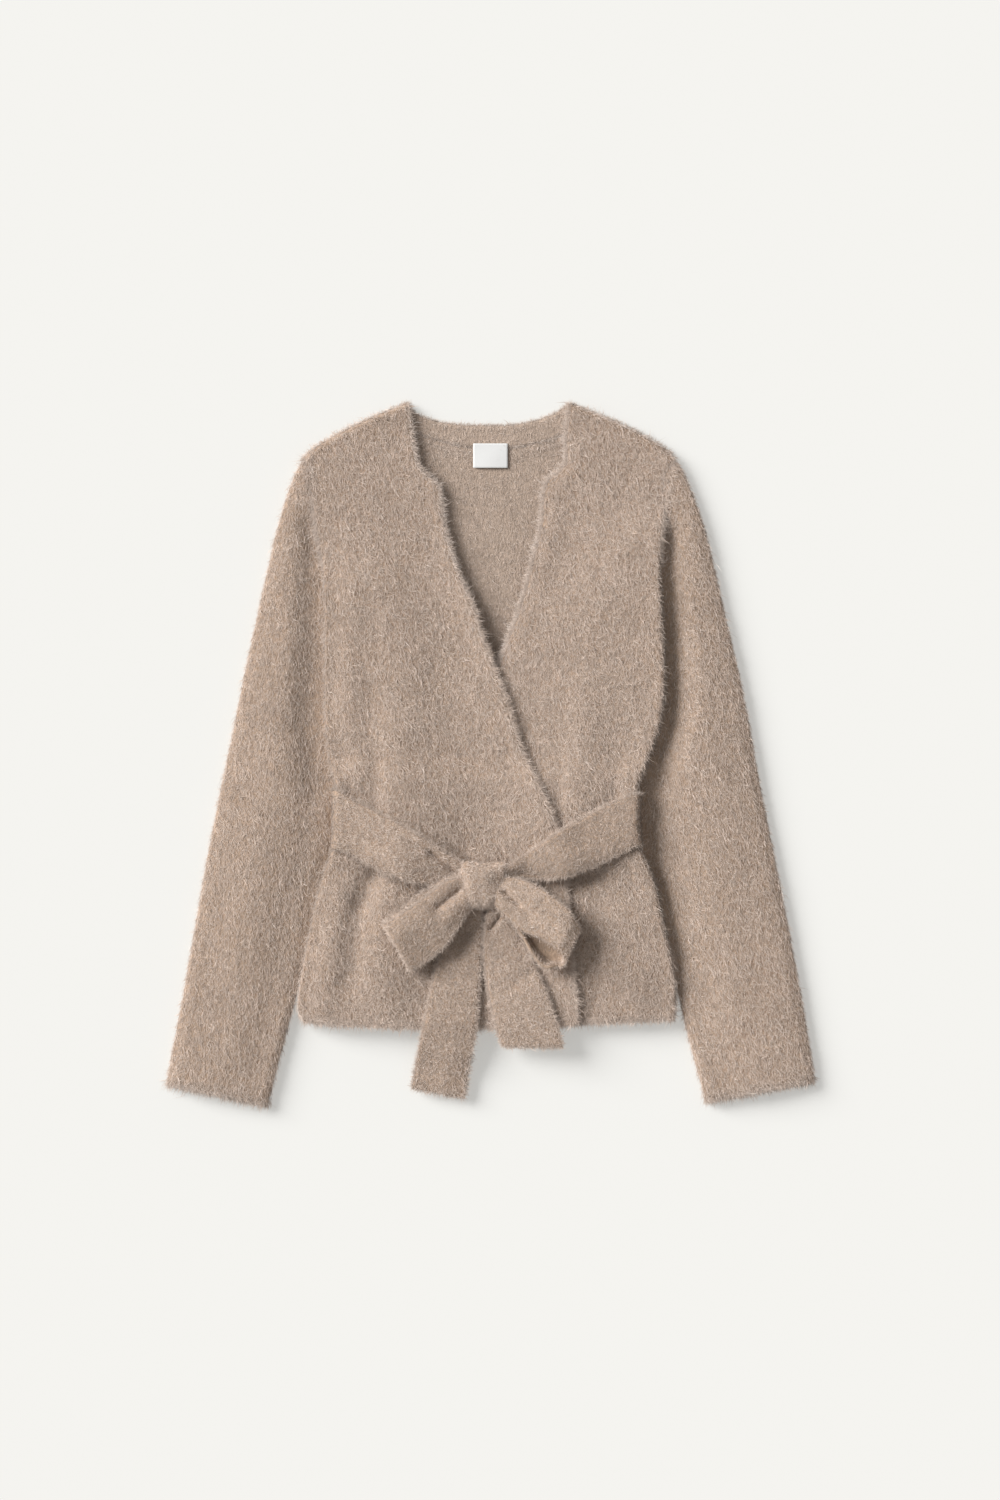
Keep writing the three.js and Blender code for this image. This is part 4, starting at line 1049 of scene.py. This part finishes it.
def weight_back(p, n):
    x, y = p[:, 0], p[:, 1]
    opening = (x > right_edge_at(y)["x"] - NECK_MARGIN) & (x < left_edge_at(y)["x"] + NECK_MARGIN)
    opening &= y > NECK_LOW_Y
    rims = (y < RIM_LOW_Y) | (y > RIM_HIGH_Y)
    labelled = np.abs(x - LABEL["x"]) < LABEL["wide"] / 2 + 1
    labelled &= np.abs(y - LABEL["y"] - 1) < LABEL["tall"] / 2 + 3
    inside = np.where(opening & ~labelled, 1.0, 0.01)
    return np.where(n[:, 2] > 0, inside, BACK_OUTSIDE) + np.where(rims & ~labelled, RIM_PILE, 0)


def weight_sleeve(p, n):
    x, y = p[:, 0], p[:, 1]
    shown = np.maximum(outside_body(x + np.sign(x) * 9, y, 14), ease(190, 215, y))
    # Painted shade: beside the body's sides the pile thins, more on the left, so that the darker knit shows.
    shade_thinning = ease(20, 3, np.abs(x) - by_side(flank, x, y)) * ease(240, 170, y) * ease(-230, -150, y)
    shade_thinning = np.where(x < 0, SHADE_THINNING_RIGHT, SHADE_THINNING_LEFT) * shade_thinning
    return facing(n, 0.1) * mix(HIDDEN, 1, shown) * (1 - shade_thinning)


def weight_strip(p, n):
    return facing(n, 0.15)


def weight_open_loop(p, n):
    """Little pile inside the loop that stands open, so that its gap stays clear and the darker knit shows
    there as painted shade.
    """
    x, y = p[:, 0], p[:, 1]
    t = np.clip((x - OPENING["x0"]) / (OPENING["x1"] - OPENING["x0"]), 0, 1)
    off = np.hypot(x - mix(OPENING["x0"], OPENING["x1"], t), y - mix(OPENING["y0"], OPENING["y1"], t))
    low = ease(10, 5, p[:, 2] - top_z(x, y) - BELT_LAY)
    return weight_strip(p, n) * (1 - mix(0.85, 0.97, low) * ease(OPENING["wide"], OPENING["deep"], off))


def finish_piece(piece, material, slot, *nodes):
    """Gives a piece its material; slot is not used. The piece stands for the CAD nodes named."""
    piece.data.materials.append(material)
    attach(piece, "root")
    if nodes:
        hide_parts(*nodes)


def cloth(name, node, grid, slot, materials, growth, cut, rests_on, comb=None, **options):
    """A piece of cloth with its pile.

    growth is how many tufts and wisps the pile has, their length and their weight. cut, the flat width,
    length and area in metres, is not used. comb is the way that the pile lies, where that isn't along the
    grid.
    """
    wall_options = {k: options.pop(k) for k in ("tube", "up", "rim") if k in options}
    piece, combs, border = wall(name, grid, SHELL, **wall_options)
    if comb:
        combs = np.where(border[:, None] > 0, combs, np.array(comb, float))
    finish_piece(piece, materials[0], slot, node)
    fur = hairs(name + "_pile", piece, combs, border, *growth, **options)
    finish_piece(fur, materials[1], slot)


def belt(name, node, grid, tufts, wisps, long, rests_on, wide=0.054, hair=5, weight=weight_strip,
         fringe=1.5, **options):
    """A stretch of the belt. hair is the length of its pile."""
    cloth(name, node, grid, BELT_SLOT, (knit, belt_pile), (tufts, wisps, hair, weight), (wide, long, None),
          rests_on, spread=60, lift=15, fringe=fringe, **options)


BODY_SLOT, BELT_SLOT = "brushed_knit", "belt_knit"
OUTSIDE, INSIDE = (knit, pile), (inside_knit, inside_pile)
DOWN = (0, -1, 0)
left_height = creased(rolled(front_z, left_edge_at, -1, -1.4))
right_height = creased(rolled(overlap_z, right_edge_at, 1, 1.2))

cloth("back_panel", "back", back_grid(), BODY_SLOT, INSIDE, (10000, 36000, 4.5, weight_back),
      (0.385, 0.62, 0.213), [], comb=DOWN, spread=60, lift=16)
cloth("back_neck_band", "neck_band", neck_band_grid(), BODY_SLOT, INSIDE, (1500, 7000, 4, weight_strip),
      (0.215, 0.03, 0.0048), ["back_panel"], comb=DOWN, spread=50)
cloth("left_front", "front_left", front("left", LEFT_FRONT, left_height), BODY_SLOT, OUTSIDE,
      (26000, 78000, 7.5, weight_left_front), (0.26, 0.62, 0.112), ["back_panel", "left_sleeve"], comb=DOWN)
cloth("right_front", "front_right", front("right", RIGHT_FRONT, right_height), BODY_SLOT, OUTSIDE,
      (36000, 106000, 7.5, weight_front), (0.275, 0.62, 0.118), ["back_panel", "left_front", "right_sleeve"],
      comb=DOWN)
for side, table in (("right", RIGHT_SLEEVE), ("left", LEFT_SLEEVE)):
    cloth(side + "_sleeve", "sleeve_" + side, sleeve_grid(side, table), BODY_SLOT, OUTSIDE,
          (34000, 96000, 7.5, weight_sleeve), (0.36, 0.62, 0.132), [],
          tube=True, up=(60, 20), spread=34, lift=11)

belt("belt_behind", "belt_back", belt_back_grid(), 600, 2500, 0.297, [])
belt("belt_right_side", "belt_right", belt_front(BELT_RIGHT), 4000, 13000, 0.17, ["right_front"], up=(50, 7))
belt("belt_left_side", "belt_left", belt_front(BELT_LEFT), 4000, 13000, 0.165, ["left_front"], up=(50, 7))
belt("tail_right", "belt_tail_right", strip(TAIL_RIGHT, 70, tail_bed, TAIL_CREASES), 4500, 15000, 0.205,
     ["right_front"])
belt("tail_left", "belt_tail_left", strip(TAIL_LEFT, 60, tail_bed, TAIL_CREASES), 4000, 13000, 0.155,
     ["right_front", "left_front"], wide=0.06)
belt("loop_right", "belt_loop_right", loop_grid(LOOP_RIGHT), 4500, 15000, 0.2, ["right_front"], up=(4, 7))
belt("loop_left", "belt_loop_left", loop_grid(LOOP_LEFT), 4500, 15000, 0.19, ["left_front"], up=(4, 7),
     hair=4.2, weight=weight_open_loop, fringe=0)


def knot():
    points, faces = knot_mesh()
    piece = make_mesh("bow_knot", points, faces)
    face_outwards(piece)
    finish_piece(piece, knit, BELT_SLOT, "belt_knot")
    combs = np.broadcast_to(np.array([0.2, -1.0, 0]), points.shape)
    fur = hairs("bow_knot_pile", piece, combs, np.zeros(len(combs)), tufts=1800, wisps=6000, length=4.5,
                weight=weight_strip, spread=60, lift=15)
    finish_piece(fur, belt_pile, BELT_SLOT)


knot()


def label():
    u = np.linspace(-0.5, 0.5, 25)[None]
    v = np.linspace(0.5, -0.5, 19)[:, None]
    x, y = LABEL["x"] + u * LABEL["wide"], LABEL["y"] + v * LABEL["tall"]
    lift = 0.5 * np.cos(np.pi * u) * ease(-0.5, 0.2, -v)
    grid = stack(x, y, back_z(x, y) + KNIT / 2 + TAPE_LAY + TAPE / 2 + lift)
    piece = wall("neck_tape", grid, TAPE, rim=0.3)[0]
    finish_piece(piece, woven_material(), "woven_label", "neck_label")


label()

# Floor, light and camera
FLOOR_REACH, FLOOR_Z = 4000, -0.3
FLOOR_COLOUR, FLOOR_GLOW = (0.47, 0.467, 0.451), (0.369, 0.364, 0.349)
corners = np.array([[-1, -1, 0], [1, -1, 0], [1, 1, 0], [-1, 1, 0]]) * FLOOR_REACH + [0, 0, FLOOR_Z]
floor_mesh = make_mesh("floor", corners, np.array([[0, 1, 2, 3]]), smooth=False)
floor_material, _, shader = nodes_of("pale_floor")
set_inputs(shader, Base_Color=(*FLOOR_COLOUR, 1), Roughness=1.0, Specular_IOR_Level=0.0,
           Emission_Color=(*FLOOR_GLOW, 1), Emission_Strength=1.0)
floor_mesh.data.materials.append(floor_material)

scene = bpy.context.scene
scene.view_settings.view_transform = "Standard"
world = bpy.data.worlds.new("studio")
world.use_nodes = True
set_inputs(world.node_tree.nodes["Background"], Color=(1, 1, 1, 1), Strength=0.36)
scene.world = world

SUN = {"azimuth": 152, "elevation": 27.5, "spread": 34}  # in degrees, the azimuth from +X towards +Y
lamp = bpy.data.lights.new("key", "SUN")
lamp.energy = 5.4
lamp.angle = np.radians(SUN["spread"])
sun = bpy.data.objects.new("key", lamp)
sun.rotation_euler = (0, np.radians(90 - SUN["elevation"]), np.radians(SUN["azimuth"]))
scene.collection.objects.link(sun)

camera_data = bpy.data.cameras.new("camera")
camera_data.lens = 120
camera = bpy.data.objects.new("camera", camera_data)
camera.location = (0.0095, 0.0035, 5)
scene.collection.objects.link(camera)
scene.camera = camera
